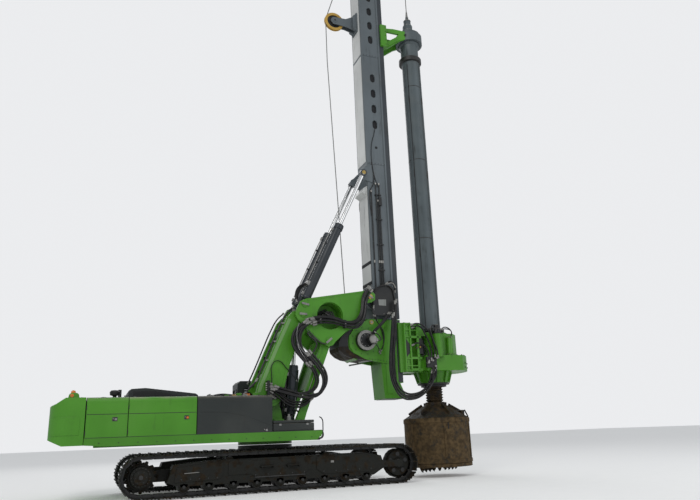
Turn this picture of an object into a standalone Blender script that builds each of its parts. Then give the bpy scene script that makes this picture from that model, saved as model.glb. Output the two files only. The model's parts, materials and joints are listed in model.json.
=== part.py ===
"""Rotary piling rig on crawler tracks, as separate closed solids.

Metres, +Z up, facing +X. The origin is on the floor, under the middle of the machine's
bounding box. The helpers take X from the swing centre, which stands SWING_X from the origin.
"""

import bpy
import bmesh
from math import cos, pi, radians, sin, tau
from mathutils import Matrix, Vector

# ---- driving dimensions, in metres -------------------------------------------------------
GAP = 0.0003            # between pieces that touch
SWING_X = -0.525        # swing centre, from the origin

TRACK_HEIGHT = 0.98
TRACK_HALF_LENGTH = 3.667
TRACK_OUTER_Y = 1.60
SHOE_WIDTH = 0.74
SHOE_COUNT = 64
GROUSER = 0.035         # height of a shoe's bar
LOOP_THICKNESS = 0.11

TAIL_X = -5.15
HOUSE_HALF_WIDTH = 1.50
DECK_LOW = 1.16
DECK_TOP = 1.36
ROOF_TOP = 2.245
DOOR_THICK = 0.055
COUNTERWEIGHT_X = -4.42
SEAM_REAR_X = -3.52
SEAM_MID_X = -2.00
HOUSE_FRONT_X = -0.19
BAY_X = -0.62           # the boom's bay starts here
CAB_REAR_X = -0.58
CAB_FRONT_X = 1.06
CAB_INNER_Y = 0.80
CAB_LOW = 1.15
CAB_TOP = 2.78
WALL = 0.05

BOOM_FOOT = (0.02, 2.28)
BOOM_HEAD = (0.86, 4.45)
LINK_HEAD = (1.60, 3.72)
LINK_FOOT = (LINK_HEAD[0] - BOOM_HEAD[0] + BOOM_FOOT[0],
             LINK_HEAD[1] - BOOM_HEAD[1] + BOOM_FOOT[1])
LIFT_FOOT = (0.60, 1.62)
LIFT_HEAD = (0.76, 3.85)
LIFT_Y = 0.30
BOOM_Y = (0.46, 0.58)   # a boom plate's inner and outer face
TRIANGLE_Y = (0.62, 0.72)
MAST_PIN = (2.90, 5.00)
TILT_FOOT = (0.96, 4.745)
TILT_HEAD = (2.97, 8.95)
TILT_Y = 0.48

MAST_REAR_X = 3.15
MAST_FRONT_X = 3.80
MAST_RAIL_X = 3.95
MAST_HALF_WIDTH = 0.38
MAST_FOOT_Z = 4.42
MAST_TOP_Z = 16.30
WINCH = (2.80, 3.78)
WINCH_RADIUS = 0.46
KELLY_X = 5.15
KELLY_RADIUS = 0.285
BUCKET_RADIUS = 0.95
BUCKET_LOW = 0.27
BUCKET_TOP = 1.60
ROTARY_FRONT_X = 6.20

# ---- colours -------------------------------------------------------------------------------
FINISHES = {
    "green_paint": ((0.055, 0.22, 0.022), 0.42, 0.0),
    "dark_panel": ((0.022, 0.027, 0.026), 0.5, 0.0),
    "mast_grey": ((0.105, 0.125, 0.137), 0.45, 0.2),
    "kelly_grey": ((0.085, 0.11, 0.12), 0.45, 0.3),
    "track_steel": ((0.012, 0.012, 0.010), 0.75, 0.4),
    "black_steel": ((0.010, 0.011, 0.012), 0.5, 0.2),
    "chrome": ((0.72, 0.72, 0.72), 0.15, 1.0),
    "muddy_steel": ((0.045, 0.028, 0.012), 0.85, 0.1),
    "cab_glass": ((0.20, 0.24, 0.24), 0.08, 0.0),
    "seat_cloth": ((0.025, 0.026, 0.028), 0.9, 0.0),
    "ochre_paint": ((0.42, 0.26, 0.05), 0.55, 0.0),
}


def clear_scene():
    for item in list(bpy.data.objects):
        bpy.data.objects.remove(item, do_unlink=True)


def new_collection(name):
    collection = bpy.data.collections.new(name)
    bpy.context.scene.collection.children.link(collection)
    return collection


def make_materials():
    """One Principled material for each finish."""
    made = {}
    for name, (colour, rough, metal) in FINISHES.items():
        material = bpy.data.materials.new(name)
        material.use_nodes = True
        shader = material.node_tree.nodes["Principled BSDF"]
        shader.inputs["Base Color"].default_value = (*colour, 1.0)
        shader.inputs["Roughness"].default_value = rough
        shader.inputs["Metallic"].default_value = metal
        material.diffuse_color = (*colour, 1.0)
        made[name] = material
    return made


clear_scene()
RIG = new_collection("rotary_piling_rig")
CUTTERS = new_collection("cutters_and_joined_shapes")
MATERIALS = make_materials()


# ---- shape helpers -----------------------------------------------------------------------
def add_object(mesh, location=(0.0, 0.0, 0.0)):
    shape = bpy.data.objects.new(mesh.name, mesh)
    shape.location = location
    CUTTERS.objects.link(shape)
    shape.hide_render = True
    shape.display_type = "WIRE"
    return shape


def from_bmesh(bm, location=(0.0, 0.0, 0.0)):
    mesh = bpy.data.meshes.new("shape")
    bm.to_mesh(mesh)
    bm.free()
    return add_object(mesh, location)


def box(x, y, z, bevel=0.0, segments=2):
    """A box from its lowest and highest X, Y and Z, with its edges rounded."""
    bm = bmesh.new()
    size = Matrix.Diagonal((x[1] - x[0], y[1] - y[0], z[1] - z[0], 1.0))
    bmesh.ops.create_cube(bm, size=1.0, matrix=size)
    if bevel:
        bmesh.ops.bevel(bm, geom=bm.edges[:], offset=bevel, segments=segments, profile=0.5,
                        affect="EDGES")
    centre = (SWING_X + sum(x) / 2, sum(y) / 2, sum(z) / 2)
    return from_bmesh(bm, centre)


def rod(start, end, radius, end_radius=None, sides=20):
    """A round bar or cone between two points."""
    a = Vector(start) + Vector((SWING_X, 0.0, 0.0))
    b = Vector(end) + Vector((SWING_X, 0.0, 0.0))
    turn = (b - a).to_track_quat("Z", "Y").to_matrix().to_4x4()
    bm = bmesh.new()
    bmesh.ops.create_cone(bm, cap_ends=True, segments=sides, radius1=radius,
                          radius2=radius if end_radius is None else end_radius,
                          depth=(b - a).length, matrix=turn)
    return from_bmesh(bm, (a + b) / 2)


def disc(centre, y, radius, sides=24):
    """A round bar along Y, about a point in the XZ plane."""
    return rod((centre[0], y[0], centre[1]), (centre[0], y[1], centre[1]), radius, sides=sides)


def post(x, y, z, radius, sides=24):
    """An upright round bar."""
    return rod((x, y, z[0]), (x, y, z[1]), radius, sides=sides)


def arc(centre, radius, start, end, steps):
    """Points on an arc, from one angle to another, in degrees."""
    angles = [radians(start + (end - start) * i / steps) for i in range(steps + 1)]
    return [(centre[0] + radius * cos(a), centre[1] + radius * sin(a)) for a in angles]


def flat_shape(outlines, depth):
    """A closed outline, with holes where there are more, as a mesh of that depth."""
    curve = bpy.data.curves.new("outline", "CURVE")
    curve.dimensions = "2D"
    curve.fill_mode = "BOTH"
    curve.extrude = depth / 2
    for points in outlines:
        spline = curve.splines.new("POLY")
        spline.points.add(len(points) - 1)
        for point, (u, v) in zip(spline.points, points):
            point.co = (u, v, 0.0, 1.0)
        spline.use_cyclic_u = True
    holder = bpy.data.objects.new("outline", curve)
    CUTTERS.objects.link(holder)
    view = bpy.context.evaluated_depsgraph_get()
    mesh = bpy.data.meshes.new_from_object(holder.evaluated_get(view))
    bpy.data.objects.remove(holder, do_unlink=True)
    bm = bmesh.new()
    bm.from_mesh(mesh)
    bmesh.ops.remove_doubles(bm, verts=bm.verts[:], dist=0.00001)
    bmesh.ops.recalc_face_normals(bm, faces=bm.faces[:])
    bm.to_mesh(mesh)
    bm.free()
    return mesh


def side_plate(outline, y, holes=()):
    """A plate with its outline in X and Z, between two Y values."""
    shape = add_object(flat_shape([outline, *holes], y[1] - y[0]))
    shape.rotation_euler = (pi / 2, 0.0, 0.0)
    shape.location = (SWING_X, sum(y) / 2, 0.0)
    return shape


def cross_bar(outline, x):
    """A bar with its outline in Y and Z, between two X values."""
    shape = add_object(flat_shape([outline], x[1] - x[0]))
    shape.rotation_euler = (pi / 2, 0.0, pi / 2)
    shape.location = (SWING_X + sum(x) / 2, 0.0, 0.0)
    return shape


def floor_plate(outline, z, holes=()):
    """A plate with its outline in X and Y, between two heights."""
    shape = add_object(flat_shape([outline, *holes], z[1] - z[0]))
    shape.location = (SWING_X, 0.0, sum(z) / 2)
    return shape


def turned(profile, x, y=0.0, steps=24, axis="Z", centre_z=0.0):
    """A turned shape: a closed profile of (radius, height) about an upright or a Y axis."""
    bm = bmesh.new()
    verts = [bm.verts.new((r, 0.0, h)) for r, h in profile]
    for i, vert in enumerate(verts):
        bm.edges.new((vert, verts[(i + 1) % len(verts)]))
    shape = from_bmesh(bm, (SWING_X + x, y, centre_z))
    screw = shape.modifiers.new("turn", "SCREW")
    screw.steps = steps
    screw.render_steps = steps
    screw.use_merge_vertices = True
    screw.merge_threshold = 0.00001
    if axis == "Y":
        shape.rotation_euler = (-pi / 2, 0.0, 0.0)
    return apply_modifiers(shape)


def apply_modifiers(shape):
    """The same object with its modifiers in its mesh, its faces pointing out."""
    view = bpy.context.evaluated_depsgraph_get()
    mesh = bpy.data.meshes.new_from_object(shape.evaluated_get(view))
    shape.modifiers.clear()
    shape.data = mesh
    bm = bmesh.new()
    bm.from_mesh(mesh)
    bmesh.ops.remove_doubles(bm, verts=bm.verts[:], dist=0.00001)
    bmesh.ops.recalc_face_normals(bm, faces=bm.faces[:])
    bm.to_mesh(mesh)
    bm.free()
    return shape


def boolean(shape, others, operation):
    for other in others:
        step = shape.modifiers.new(operation.lower(), "BOOLEAN")
        step.operation = operation
        step.solver = "EXACT"
        step.object = other
    return shape


def joined(shape, *others):
    return boolean(shape, others, "UNION")


def cut(shape, *others):
    return boolean(shape, others, "DIFFERENCE")


def both_sides(make):
    """A shape made for each side of the machine: side is -1 on the right, 1 on the left."""
    return [make(side) for side in (-1, 1)]


def span(side, inner, outer):
    """Two Y values in rising order, for faces at these distances from the middle."""
    return (inner, outer) if side > 0 else (-outer, -inner)


def pivot(name, location, parent=None):
    """An empty on a joint's axis, which the joint's pieces hang on."""
    empty = bpy.data.objects.new(name, None)
    empty.empty_display_size = 0.2
    RIG.objects.link(empty)
    empty.location = Vector(location) + Vector((SWING_X, 0.0, 0.0))
    if parent:
        hang_on(empty, parent)
    return empty


def hang_on(child, parent):
    """Parents a piece where it stands."""
    bpy.context.view_layer.update()
    child.parent = parent
    child.matrix_parent_inverse = parent.matrix_world.inverted()


def part(name, finish, shape, parent=None):
    """Names a finished shape, gives it its finish and hangs it on its joint."""
    CUTTERS.objects.unlink(shape)
    RIG.objects.link(shape)
    shape.name = name
    shape.data.name = name
    shape.hide_render = False
    shape.display_type = "TEXTURED"
    shape.data.materials.clear()
    shape.data.materials.append(MATERIALS[finish])
    shape.data.shade_smooth()
    shape.data.set_sharp_from_angle(angle=radians(35))
    if parent:
        hang_on(shape, parent)
    return shape


# ---- undercarriage -----------------------------------------------------------------------
TRACK_MIDDLE_Y = TRACK_OUTER_Y - SHOE_WIDTH / 2
LOOP_RADIUS = TRACK_HEIGHT / 2
WHEEL_X = TRACK_HALF_LENGTH - LOOP_RADIUS


def loop_point(distance, radius):
    """A point on a track's path, from the top rear corner forwards, at that radius."""
    straight = 2 * WHEEL_X
    pad_radius = LOOP_RADIUS - GROUSER
    bend = pi * pad_radius
    distance %= 2 * (straight + bend)
    if distance < straight:
        return (-WHEEL_X + distance, LOOP_RADIUS + radius)
    distance -= straight
    if distance < bend:
        angle = pi / 2 - distance / pad_radius
        return (WHEEL_X + radius * cos(angle), LOOP_RADIUS + radius * sin(angle))
    distance -= bend
    if distance < straight:
        return (WHEEL_X - distance, LOOP_RADIUS - radius)
    angle = -pi / 2 - (distance - straight) / pad_radius
    return (-WHEEL_X + radius * cos(angle), LOOP_RADIUS + radius * sin(angle))


def track_outlines():
    """The loop's outer outline with a bar on each shoe, and its inner outline."""
    pad_radius = LOOP_RADIUS - GROUSER
    length = 4 * WHEEL_X + tau * pad_radius
    pitch = length / SHOE_COUNT
    outer = []
    for i in range(SHOE_COUNT):
        for share, radius in ((0.40, pad_radius), (0.46, LOOP_RADIUS),
                              (0.54, LOOP_RADIUS), (0.60, pad_radius)):
            outer.append(loop_point((i + share) * pitch, radius))
    inner_radius = LOOP_RADIUS - LOOP_THICKNESS
    inner = arc((WHEEL_X, LOOP_RADIUS), inner_radius, -90, 90, 12)
    inner += arc((-WHEEL_X, LOOP_RADIUS), inner_radius, 90, 270, 12)
    return outer, inner


def build_track(side, side_name):
    outer, inner = track_outlines()
    y = span(side, TRACK_OUTER_Y - SHOE_WIDTH, TRACK_OUTER_Y)
    part(f"track_{side_name}", "track_steel", side_plate(outer, y, [inner]))


def build_track_frame(side, side_name):
    """The long beam between sprocket and idler, with its rollers and its idler fork."""
    outline = [(-2.62, 0.34), (-2.48, 0.72), (-1.60, 0.785), (2.20, 0.785), (2.66, 0.70),
               (2.76, 0.42), (2.45, 0.25), (-2.35, 0.25)]
    beam = side_plate(outline, span(side, 1.00, 1.46))
    shapes = []
    for i in range(9):
        x = -2.24 + 0.56 * i
        shapes.append(disc((x, 0.236), span(side, 1.02, 1.44), 0.12, sides=10))
    for x in (-1.2, 1.2):
        shapes.append(disc((x, 0.79), span(side, 1.10, 1.36), 0.072, sides=10))
    for inner, outer in ((1.00, 1.06), (1.40, 1.46)):
        shapes.append(box((2.60, 3.27), span(side, inner, outer), (0.41, 0.57)))
    shapes.append(box((-3.30, -2.50), span(side, 1.00, 1.07), (0.36, 0.62)))
    part(f"track_frame_{side_name}", "track_steel", joined(beam, *shapes))


def build_sprocket(side, side_name):
    teeth = 14
    outline = []
    for i in range(teeth):
        for share, radius in ((0.0, 0.30), (0.3, 0.30), (0.45, 0.36), (0.75, 0.36)):
            angle = tau * (i + share) / teeth
            outline.append((-WHEEL_X + radius * cos(angle), LOOP_RADIUS + radius * sin(angle)))
    wheel = side_plate(outline, span(side, 1.17, 1.27))
    centre = (-WHEEL_X, LOOP_RADIUS)
    hub = disc(centre, span(side, 1.07 + GAP, 1.44), 0.23)
    cap = disc(centre, span(side, 1.40, 1.50), 0.16)
    part(f"sprocket_{side_name}", "track_steel", joined(wheel, hub, cap))


def build_idler(side, side_name):
    profile = [(0.0, 0.168), (0.12, 0.168), (0.14, 0.12), (0.31, 0.12), (0.31, 0.06),
               (0.36, 0.05), (0.36, -0.05), (0.31, -0.06), (0.31, -0.12), (0.14, -0.12),
               (0.12, -0.168), (0.0, -0.168)]
    wheel = turned(profile, WHEEL_X, side * TRACK_MIDDLE_Y, steps=18, axis="Y",
                   centre_z=LOOP_RADIUS)
    part(f"idler_{side_name}", "track_steel", wheel)


def build_undercarriage():
    for side, side_name in ((-1, "right"), (1, "left")):
        build_track(side, side_name)
        build_track_frame(side, side_name)
        build_sprocket(side, side_name)
        build_idler(side, side_name)
    body = box((-1.15, 1.15), (-0.80, 0.80), (0.44, 0.86), 0.05)
    legs = [box((x - 0.30, x + 0.30), (-1.0 + GAP, 1.0 - GAP), (0.40, 0.72), 0.0)
            for x in (-1.05, 1.05)]
    part("car_body", "track_steel", joined(body, *legs))
    ring = [(0.74, 0.0), (0.74, 0.10), (0.70, 0.10), (0.70, 0.20), (0.40, 0.20), (0.40, 0.0)]
    base = 0.86 + GAP
    part("swing_ring", "black_steel", turned([(r, base + h) for r, h in ring], 0.0, steps=36))


# ---- house ---------------------------------------------------------------------------------
def build_deck(house):
    """The slewing frame with its skirts, its brackets and the swing bearing's upper ring."""
    half = HOUSE_HALF_WIDTH - 0.01
    outline = [(COUNTERWEIGHT_X + 0.01, -half), (1.06, -half), (1.06, CAB_INNER_Y - 0.01),
               (CAB_REAR_X - 0.02, CAB_INNER_Y - 0.01), (CAB_REAR_X - 0.02, half),
               (COUNTERWEIGHT_X + 0.01, half)]
    deck = floor_plate(outline, (1.22, DECK_TOP))
    skirt_top = DECK_TOP + 0.01
    skirt = side_plate([(COUNTERWEIGHT_X + 0.01, 1.22), (-4.0, 1.19), (0.93, 1.14), (1.08, 1.28),
                        (1.08, skirt_top), (COUNTERWEIGHT_X + 0.01, skirt_top)],
                       (-HOUSE_HALF_WIDTH, -HOUSE_HALF_WIDTH + 0.06))
    beams = [box((-4.2, 1.0), (y - 0.06, y + 0.06), (DECK_LOW, 1.30)) for y in (-0.75, 0.70)]
    ring = post(0.0, 0.0, (1.08, 1.30), 0.70, sides=36)
    brackets = []
    for side in (-1, 1):
        foot = [(-0.42, DECK_TOP - 0.02), (-0.42, 1.75), (-0.20, 2.20)]
        foot += arc(BOOM_FOOT, 0.17, 160, 20, 8)
        foot += [(0.32, 1.90), (0.40, DECK_TOP - 0.02)]
        brackets.append(side_plate(foot, span(side, 0.34, 0.44)))
        lug = [(LINK_FOOT[0] - 0.22, DECK_TOP - 0.02)] + arc(LINK_FOOT, 0.13, 180, 0, 8)
        lug += [(LINK_FOOT[0] + 0.22, DECK_TOP - 0.02)]
        brackets.append(side_plate(lug, span(side, 0.60, 0.68)))
    block = [(LIFT_FOOT[0] - 0.20, DECK_TOP - 0.02)] + arc(LIFT_FOOT, 0.13, 170, 10, 8)
    block += [(LIFT_FOOT[0] + 0.20, DECK_TOP - 0.02)]
    brackets.append(side_plate(block, (-0.17, 0.17)))
    part("deck", "green_paint", joined(deck, skirt, *beams, ring, *brackets), house)


def build_counterweight(house):
    """The tail weight: rounded rear corners, a sloping top edge and a raised lower lip."""
    r = 0.34
    half = HOUSE_HALF_WIDTH - 0.01
    plan = [(COUNTERWEIGHT_X, -half), (COUNTERWEIGHT_X, half)]
    plan += arc((TAIL_X + r, half - r), r, 90, 180, 6)
    plan += arc((TAIL_X + r, -half + r), r, 180, 270, 6)
    weight = floor_plate(plan, (1.22, ROOF_TOP))
    slope = side_plate([(TAIL_X - 0.1, 2.02), (TAIL_X + 0.13, 2.12), (TAIL_X + 0.34, 2.26),
                        (TAIL_X + 0.34, 2.4), (TAIL_X - 0.1, 2.4)], (-1.7, 1.7))
    under = side_plate([(TAIL_X - 0.1, 1.36), (TAIL_X, 1.36), (TAIL_X + 0.30, 1.218),
                        (TAIL_X + 0.30, 1.1), (TAIL_X - 0.1, 1.1)], (-1.7, 1.7))
    part("counterweight", "green_paint", cut(weight, slope, under), house)


def door_profile(side):
    """A side door's section in Y and Z: flat, with its top edge rounded over the roof."""
    low = DECK_TOP + 0.012
    top = ROOF_TOP - 0.005
    outer = [(HOUSE_HALF_WIDTH, low), (HOUSE_HALF_WIDTH, top - 0.10)]
    outer += arc((HOUSE_HALF_WIDTH - 0.10, top - 0.10), 0.10, 15, 75, 4)
    inner = [(HOUSE_HALF_WIDTH - 0.10, top), (HOUSE_HALF_WIDTH - 0.10, top - DOOR_THICK),
             (HOUSE_HALF_WIDTH - DOOR_THICK, top - 0.11), (HOUSE_HALF_WIDTH - DOOR_THICK, low)]
    return [(side * y, z) for y, z in outer + inner]


def build_door(house, name, side, x, finish):
    hinge = pivot(f"{name}_hinge", (x[0], side * (HOUSE_HALF_WIDTH + 0.005), 1.8), house)
    part(name, finish, cross_bar(door_profile(side), x), hinge)


def build_house_shell(house):
    """Roof, bulkheads and front walls, open at the sides where the doors close it."""
    wide = HOUSE_HALF_WIDTH - 0.105
    bulkhead = HOUSE_HALF_WIDTH - 0.12
    low = DECK_TOP + GAP
    rear = COUNTERWEIGHT_X + 0.01 + GAP
    outline = [(rear, -wide), (HOUSE_FRONT_X, -wide), (HOUSE_FRONT_X, -0.80), (BAY_X, -0.80),
               (BAY_X, wide), (rear, wide)]
    roof = floor_plate(outline, (ROOF_TOP - 0.05, ROOF_TOP))
    walls = []
    for x in (rear + 0.03, SEAM_REAR_X, SEAM_MID_X):
        walls.append(box((x - 0.03, x + 0.03), (-bulkhead, bulkhead), (low, ROOF_TOP - 0.02)))
    walls.append(box((BAY_X - 0.06, BAY_X), (-0.86, bulkhead), (low, ROOF_TOP - 0.02)))
    walls.append(box((BAY_X - 0.06, HOUSE_FRONT_X), (-0.86, -0.80), (low, ROOF_TOP - 0.02)))
    walls.append(box((HOUSE_FRONT_X - 0.05, HOUSE_FRONT_X), (-bulkhead, -0.80),
                     (low, ROOF_TOP - 0.02)))
    part("house_shell", "dark_panel", joined(roof, *walls), house)
    part("engine", "black_steel",
         box((-3.42, -2.12), (-0.50, 0.50), (low, 2.05), 0.04), house)


def build_hood(house):
    """The raised lid over the engine, hinged along its left edge."""
    low = ROOF_TOP + 0.006
    outline = [(-3.50, low), (-3.50, 2.44), (-3.44, 2.485), (-3.12, 2.505), (-1.92, 2.36),
               (-1.86, 2.32), (-1.86, low)]
    hinge = pivot("hood_lid_hinge", (-2.68, 0.62, low), house)
    part("hood_lid", "dark_panel", side_plate(outline, (-0.62, 0.62)), hinge)


def build_tool_box(house):
    low = DECK_TOP + 0.01 + GAP
    y = (-1.48, -0.80)
    part("tool_box", "dark_panel", box((-0.17, 0.88), y, (low, 1.56), 0.02), house)
    hinge = pivot("tool_box_lid_hinge", (0.35, y[1], 1.57), house)
    part("tool_box_lid", "dark_panel", box((-0.17, 0.88), y, (1.566, 1.63), 0.02), hinge)


def cab_outline(inset):
    """The cab's side outline: upright rear, sloping upper front."""
    x0 = CAB_REAR_X + inset
    x1 = CAB_FRONT_X - inset
    low = CAB_LOW + inset
    top = CAB_TOP - inset
    return [(x0, low), (x1, low), (x1, 1.72), (x1 - 0.26, top - 0.10), (x1 - 0.36, top),
            (x0 + 0.08, top), (x0, top - 0.08)]


def build_cab(house):
    """A hollow cab with windows in front, roof, rear and both sides, and its door."""
    y = (CAB_INNER_Y, HOUSE_HALF_WIDTH - 0.02)
    shell = side_plate(cab_outline(0.0), y)
    inside = side_plate(cab_outline(WALL), (y[0] + WALL, y[1] - WALL))
    doorway = side_plate([(-0.24, 1.26), (0.74, 1.26), (0.74, 1.80), (0.62, 2.60), (-0.24, 2.60)],
                         (y[1] - 0.10, y[1] + 0.10))
    window = side_plate([(-0.40, 1.80), (0.78, 1.80), (0.62, 2.58), (-0.40, 2.58)],
                        (y[0] - 0.10, y[0] + 0.10))
    front = box((0.60, 1.30), (y[0] + 0.07, y[1] - 0.07), (1.78, 2.60))
    lower = box((CAB_FRONT_X - 0.10, CAB_FRONT_X + 0.1), (y[0] + 0.10, y[1] - 0.10), (1.34, 1.66))
    rear = box((CAB_REAR_X - 0.1, CAB_REAR_X + 0.1), (y[0] + 0.10, y[1] - 0.10), (1.90, 2.56))
    roof = box((-0.10, 0.44), (y[0] + 0.12, y[1] - 0.12), (CAB_TOP - 0.1, CAB_TOP + 0.1))
    part("cab_shell", "dark_panel", cut(shell, inside, doorway, window, front, lower, rear, roof),
         house)

    gap = 0.012
    leaf = side_plate([(-0.24 + gap, 1.26 + gap), (0.74 - gap, 1.26 + gap), (0.74 - gap, 1.80),
                       (0.62 - gap, 2.60 - gap), (-0.24 + gap, 2.60 - gap)],
                      (y[1] - 0.04, y[1]))
    pane = side_plate([(-0.16, 1.72), (0.65, 1.72), (0.65, 1.82), (0.55, 2.52), (-0.16, 2.52)],
                      (y[1] - 0.08, y[1] + 0.04))
    hinge = pivot("cab_door_hinge", (-0.24, y[1] + 0.005, 1.9), house)
    part("cab_door", "green_paint", cut(leaf, pane), hinge)

    glass = 0.004
    side_window = [(-0.40 + glass, 1.80 + glass), (0.78 - glass, 1.80 + glass),
                   (0.62 - glass, 2.58 - glass), (-0.40 + glass, 2.58 - glass)]
    part("cab_side_glass", "cab_glass", side_plate(side_window, (y[0] + 0.02, y[0] + 0.03)), house)
    seat = [(-0.24, 1.22), (0.10, 1.22), (0.10, 1.56), (0.26, 1.58), (0.26, 1.70), (-0.12, 1.70),
            (-0.28, 2.30), (-0.38, 2.30), (-0.28, 1.62), (-0.24, 1.56)]
    part("seat", "seat_cloth", side_plate(seat, (0.92, 1.36)), house)


def build_house():
    house = pivot("swing_axis", (0.0, 0.0, 1.07))
    build_deck(house)
    build_counterweight(house)
    build_house_shell(house)
    build_hood(house)
    build_tool_box(house)
    build_cab(house)
    rear = (COUNTERWEIGHT_X + 0.022, SEAM_REAR_X - 0.008)
    middle = (SEAM_REAR_X + 0.008, SEAM_MID_X - 0.008)
    front = (SEAM_MID_X + 0.008, HOUSE_FRONT_X - 0.004)
    build_door(house, "door_right_rear", -1, rear, "green_paint")
    build_door(house, "door_right_middle", -1, middle, "green_paint")
    build_door(house, "door_right_front", -1, front, "dark_panel")
    build_door(house, "door_left_rear", 1, rear, "green_paint")
    build_door(house, "door_left_middle", 1, (SEAM_REAR_X + 0.008, BAY_X - 0.004), "green_paint")
    return house


# ---- boom, link and triangle -------------------------------------------------------------
def build_boom(house):
    """Two wide plates, broad at the foot and narrow at the head, with cross tubes."""
    lift = pivot("boom_axis", (BOOM_FOOT[0], 0.0, BOOM_FOOT[1]), house)
    outline = [(0.62, 4.52), (0.47, 4.36), (0.10, 3.55), (-0.33, 2.55), (-0.38, 2.36),
               (-0.34, 2.16), (-0.20, 2.02)]
    outline += arc(BOOM_FOOT, 0.27, 265, 330, 4)
    outline += [(0.34, 2.36), (0.52, 3.05), (0.74, 3.62), (0.98, 3.96), (1.04, 4.28)]
    outline += arc(BOOM_HEAD, 0.17, -10, 140, 7)
    plates = both_sides(lambda side: side_plate(outline, span(side, *BOOM_Y)))
    upper = disc((0.45, 3.95), (-BOOM_Y[0] - 0.05, BOOM_Y[0] + 0.05), 0.11, sides=20)
    lower = disc((0.02, 2.80), (-BOOM_Y[0] - 0.05, BOOM_Y[0] + 0.05), 0.13, sides=20)
    bosses = both_sides(lambda side: disc(LIFT_HEAD, span(side, 0.375, 0.50), 0.085, sides=16))
    boom = joined(plates[0], plates[1], upper, lower, *bosses)
    part("boom", "green_paint", boom, lift)
    return lift


def build_link(house):
    """The front link: two slim arms with a cross plate, parallel to the boom."""
    axis = pivot("link_axis", (LINK_FOOT[0], 0.0, LINK_FOOT[1]), house)
    along = Vector((LINK_HEAD[0] - LINK_FOOT[0], LINK_HEAD[1] - LINK_FOOT[1])).normalized()
    normal = Vector((along.y, -along.x))

    def at(distance, offset):
        point = Vector(LINK_FOOT) + along * distance + normal * offset
        return (point.x, point.y)

    length = (Vector(LINK_HEAD) - Vector(LINK_FOOT)).length
    outline = [at(-0.11, -0.05), at(0.0, -0.12), at(0.35, -0.10), at(length - 0.5, -0.14),
               at(length, -0.12), at(length + 0.11, -0.05), at(length + 0.11, 0.05),
               at(length, 0.12), at(length - 0.4, 0.12), at(0.35, 0.10), at(0.0, 0.12),
               at(-0.11, 0.05)]
    arms = both_sides(lambda side: side_plate(outline, span(side, 0.46, 0.58)))
    brace = side_plate([at(0.95, -0.05), at(1.75, -0.05), at(1.75, 0.05), at(0.95, 0.05)],
                       (-0.50, 0.50))
    part("boom_link", "green_paint", joined(arms[0], arms[1], brace), axis)


def triangle_outline():
    return [(0.66, 4.42), (0.72, 4.62), (0.82, 4.80), (0.98, 4.87), (2.72, 5.17), (2.94, 5.19),
            (3.06, 5.08), (3.05, 4.92), (2.93, 4.84), (2.78, 4.82), (2.56, 4.53), (2.44, 4.24),
            (2.12, 3.98), (1.80, 3.70), (1.72, 3.60), (1.58, 3.56), (1.43, 3.63), (1.06, 3.96),
            (0.72, 4.30)]


def build_triangle(boom):
    """The frame that carries the mast: two plates round a wide tube, with closing skins."""
    axis = pivot("triangle_axis", (BOOM_HEAD[0], 0.0, BOOM_HEAD[1]), boom)
    hole_centre = (1.66, 4.41)
    hole = arc(hole_centre, 0.40, 0, 345, 23)
    plates = both_sides(lambda side: side_plate(triangle_outline(), span(side, *TRIANGLE_Y),
                                                [hole]))
    reach = TRIANGLE_Y[0] + 0.04
    tube = side_plate(arc(hole_centre, 0.45, 7, 352, 23), (-reach, reach),
                      [arc(hole_centre, 0.37, 7, 352, 23)])
    top = side_plate([(1.45, 4.925), (2.26, 5.064), (2.27, 5.006), (1.46, 4.875)],
                     (0.01 - reach, reach - 0.01))
    bosses = []
    for centre, radius in ((BOOM_HEAD, 0.10), (LINK_HEAD, 0.09)):
        bosses += both_sides(lambda side: disc(centre, span(side, 0.586, 0.66), radius, sides=16))
    lugs = both_sides(lambda side: disc(TILT_FOOT, span(side, 0.556, 0.665), 0.08, sides=16))
    front = both_sides(lambda side: disc(MAST_PIN, span(side, 0.506, 0.66), 0.10, sides=16))
    frame = joined(plates[0], plates[1], tube, top, *bosses, *lugs, *front)
    part("triangle", "green_paint", frame, axis)
    return axis


def build_cylinder(name, foot, head, side_y, bore, rod_radius, barrel_end, parent, eye):
    """A ram: barrel with its foot eye, and a rod with its head eye on a slide along it."""
    a = Vector((foot[0], 0.0, foot[1]))
    b = Vector((head[0], 0.0, head[1]))
    along = (b - a).normalized()
    barrel_axis = pivot(f"{name}_barrel_axis", a, parent)
    rod_axis = pivot(f"{name}_rod_axis", b, barrel_axis)
    for side, side_name in ((-1, "right"), (1, "left")):
        y = Vector((0.0, side * side_y, 0.0))
        tube = rod(a + y + along * (eye + 0.07), a + y + along * barrel_end, bore, sides=24)
        neck = rod(a + y, a + y + along * (eye + 0.12), 0.05, sides=12)
        hollow = rod(a + y + along * (eye + 0.25), a + y + along * (barrel_end + 0.1),
                     rod_radius + 0.012, sides=24)
        foot_eye = disc(foot, (side * side_y - 0.055, side * side_y + 0.055), eye, sides=20)
        collar = rod(a + y + along * (barrel_end - 0.10), a + y + along * (barrel_end - 0.02),
                     bore + 0.018, sides=24)
        barrel = cut(joined(tube, neck, foot_eye, collar), hollow)
        part(f"{name}_barrel_{side_name}", "black_steel", barrel, barrel_axis)
        bar = rod(a + y + along * (eye + 0.75), b + y - along * eye * 0.6, rod_radius, sides=20)
        head_eye = disc(head, (side * side_y - 0.05, side * side_y + 0.05), eye, sides=20)
        part(f"{name}_rod_{side_name}", "chrome", joined(bar, head_eye), rod_axis)


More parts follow.
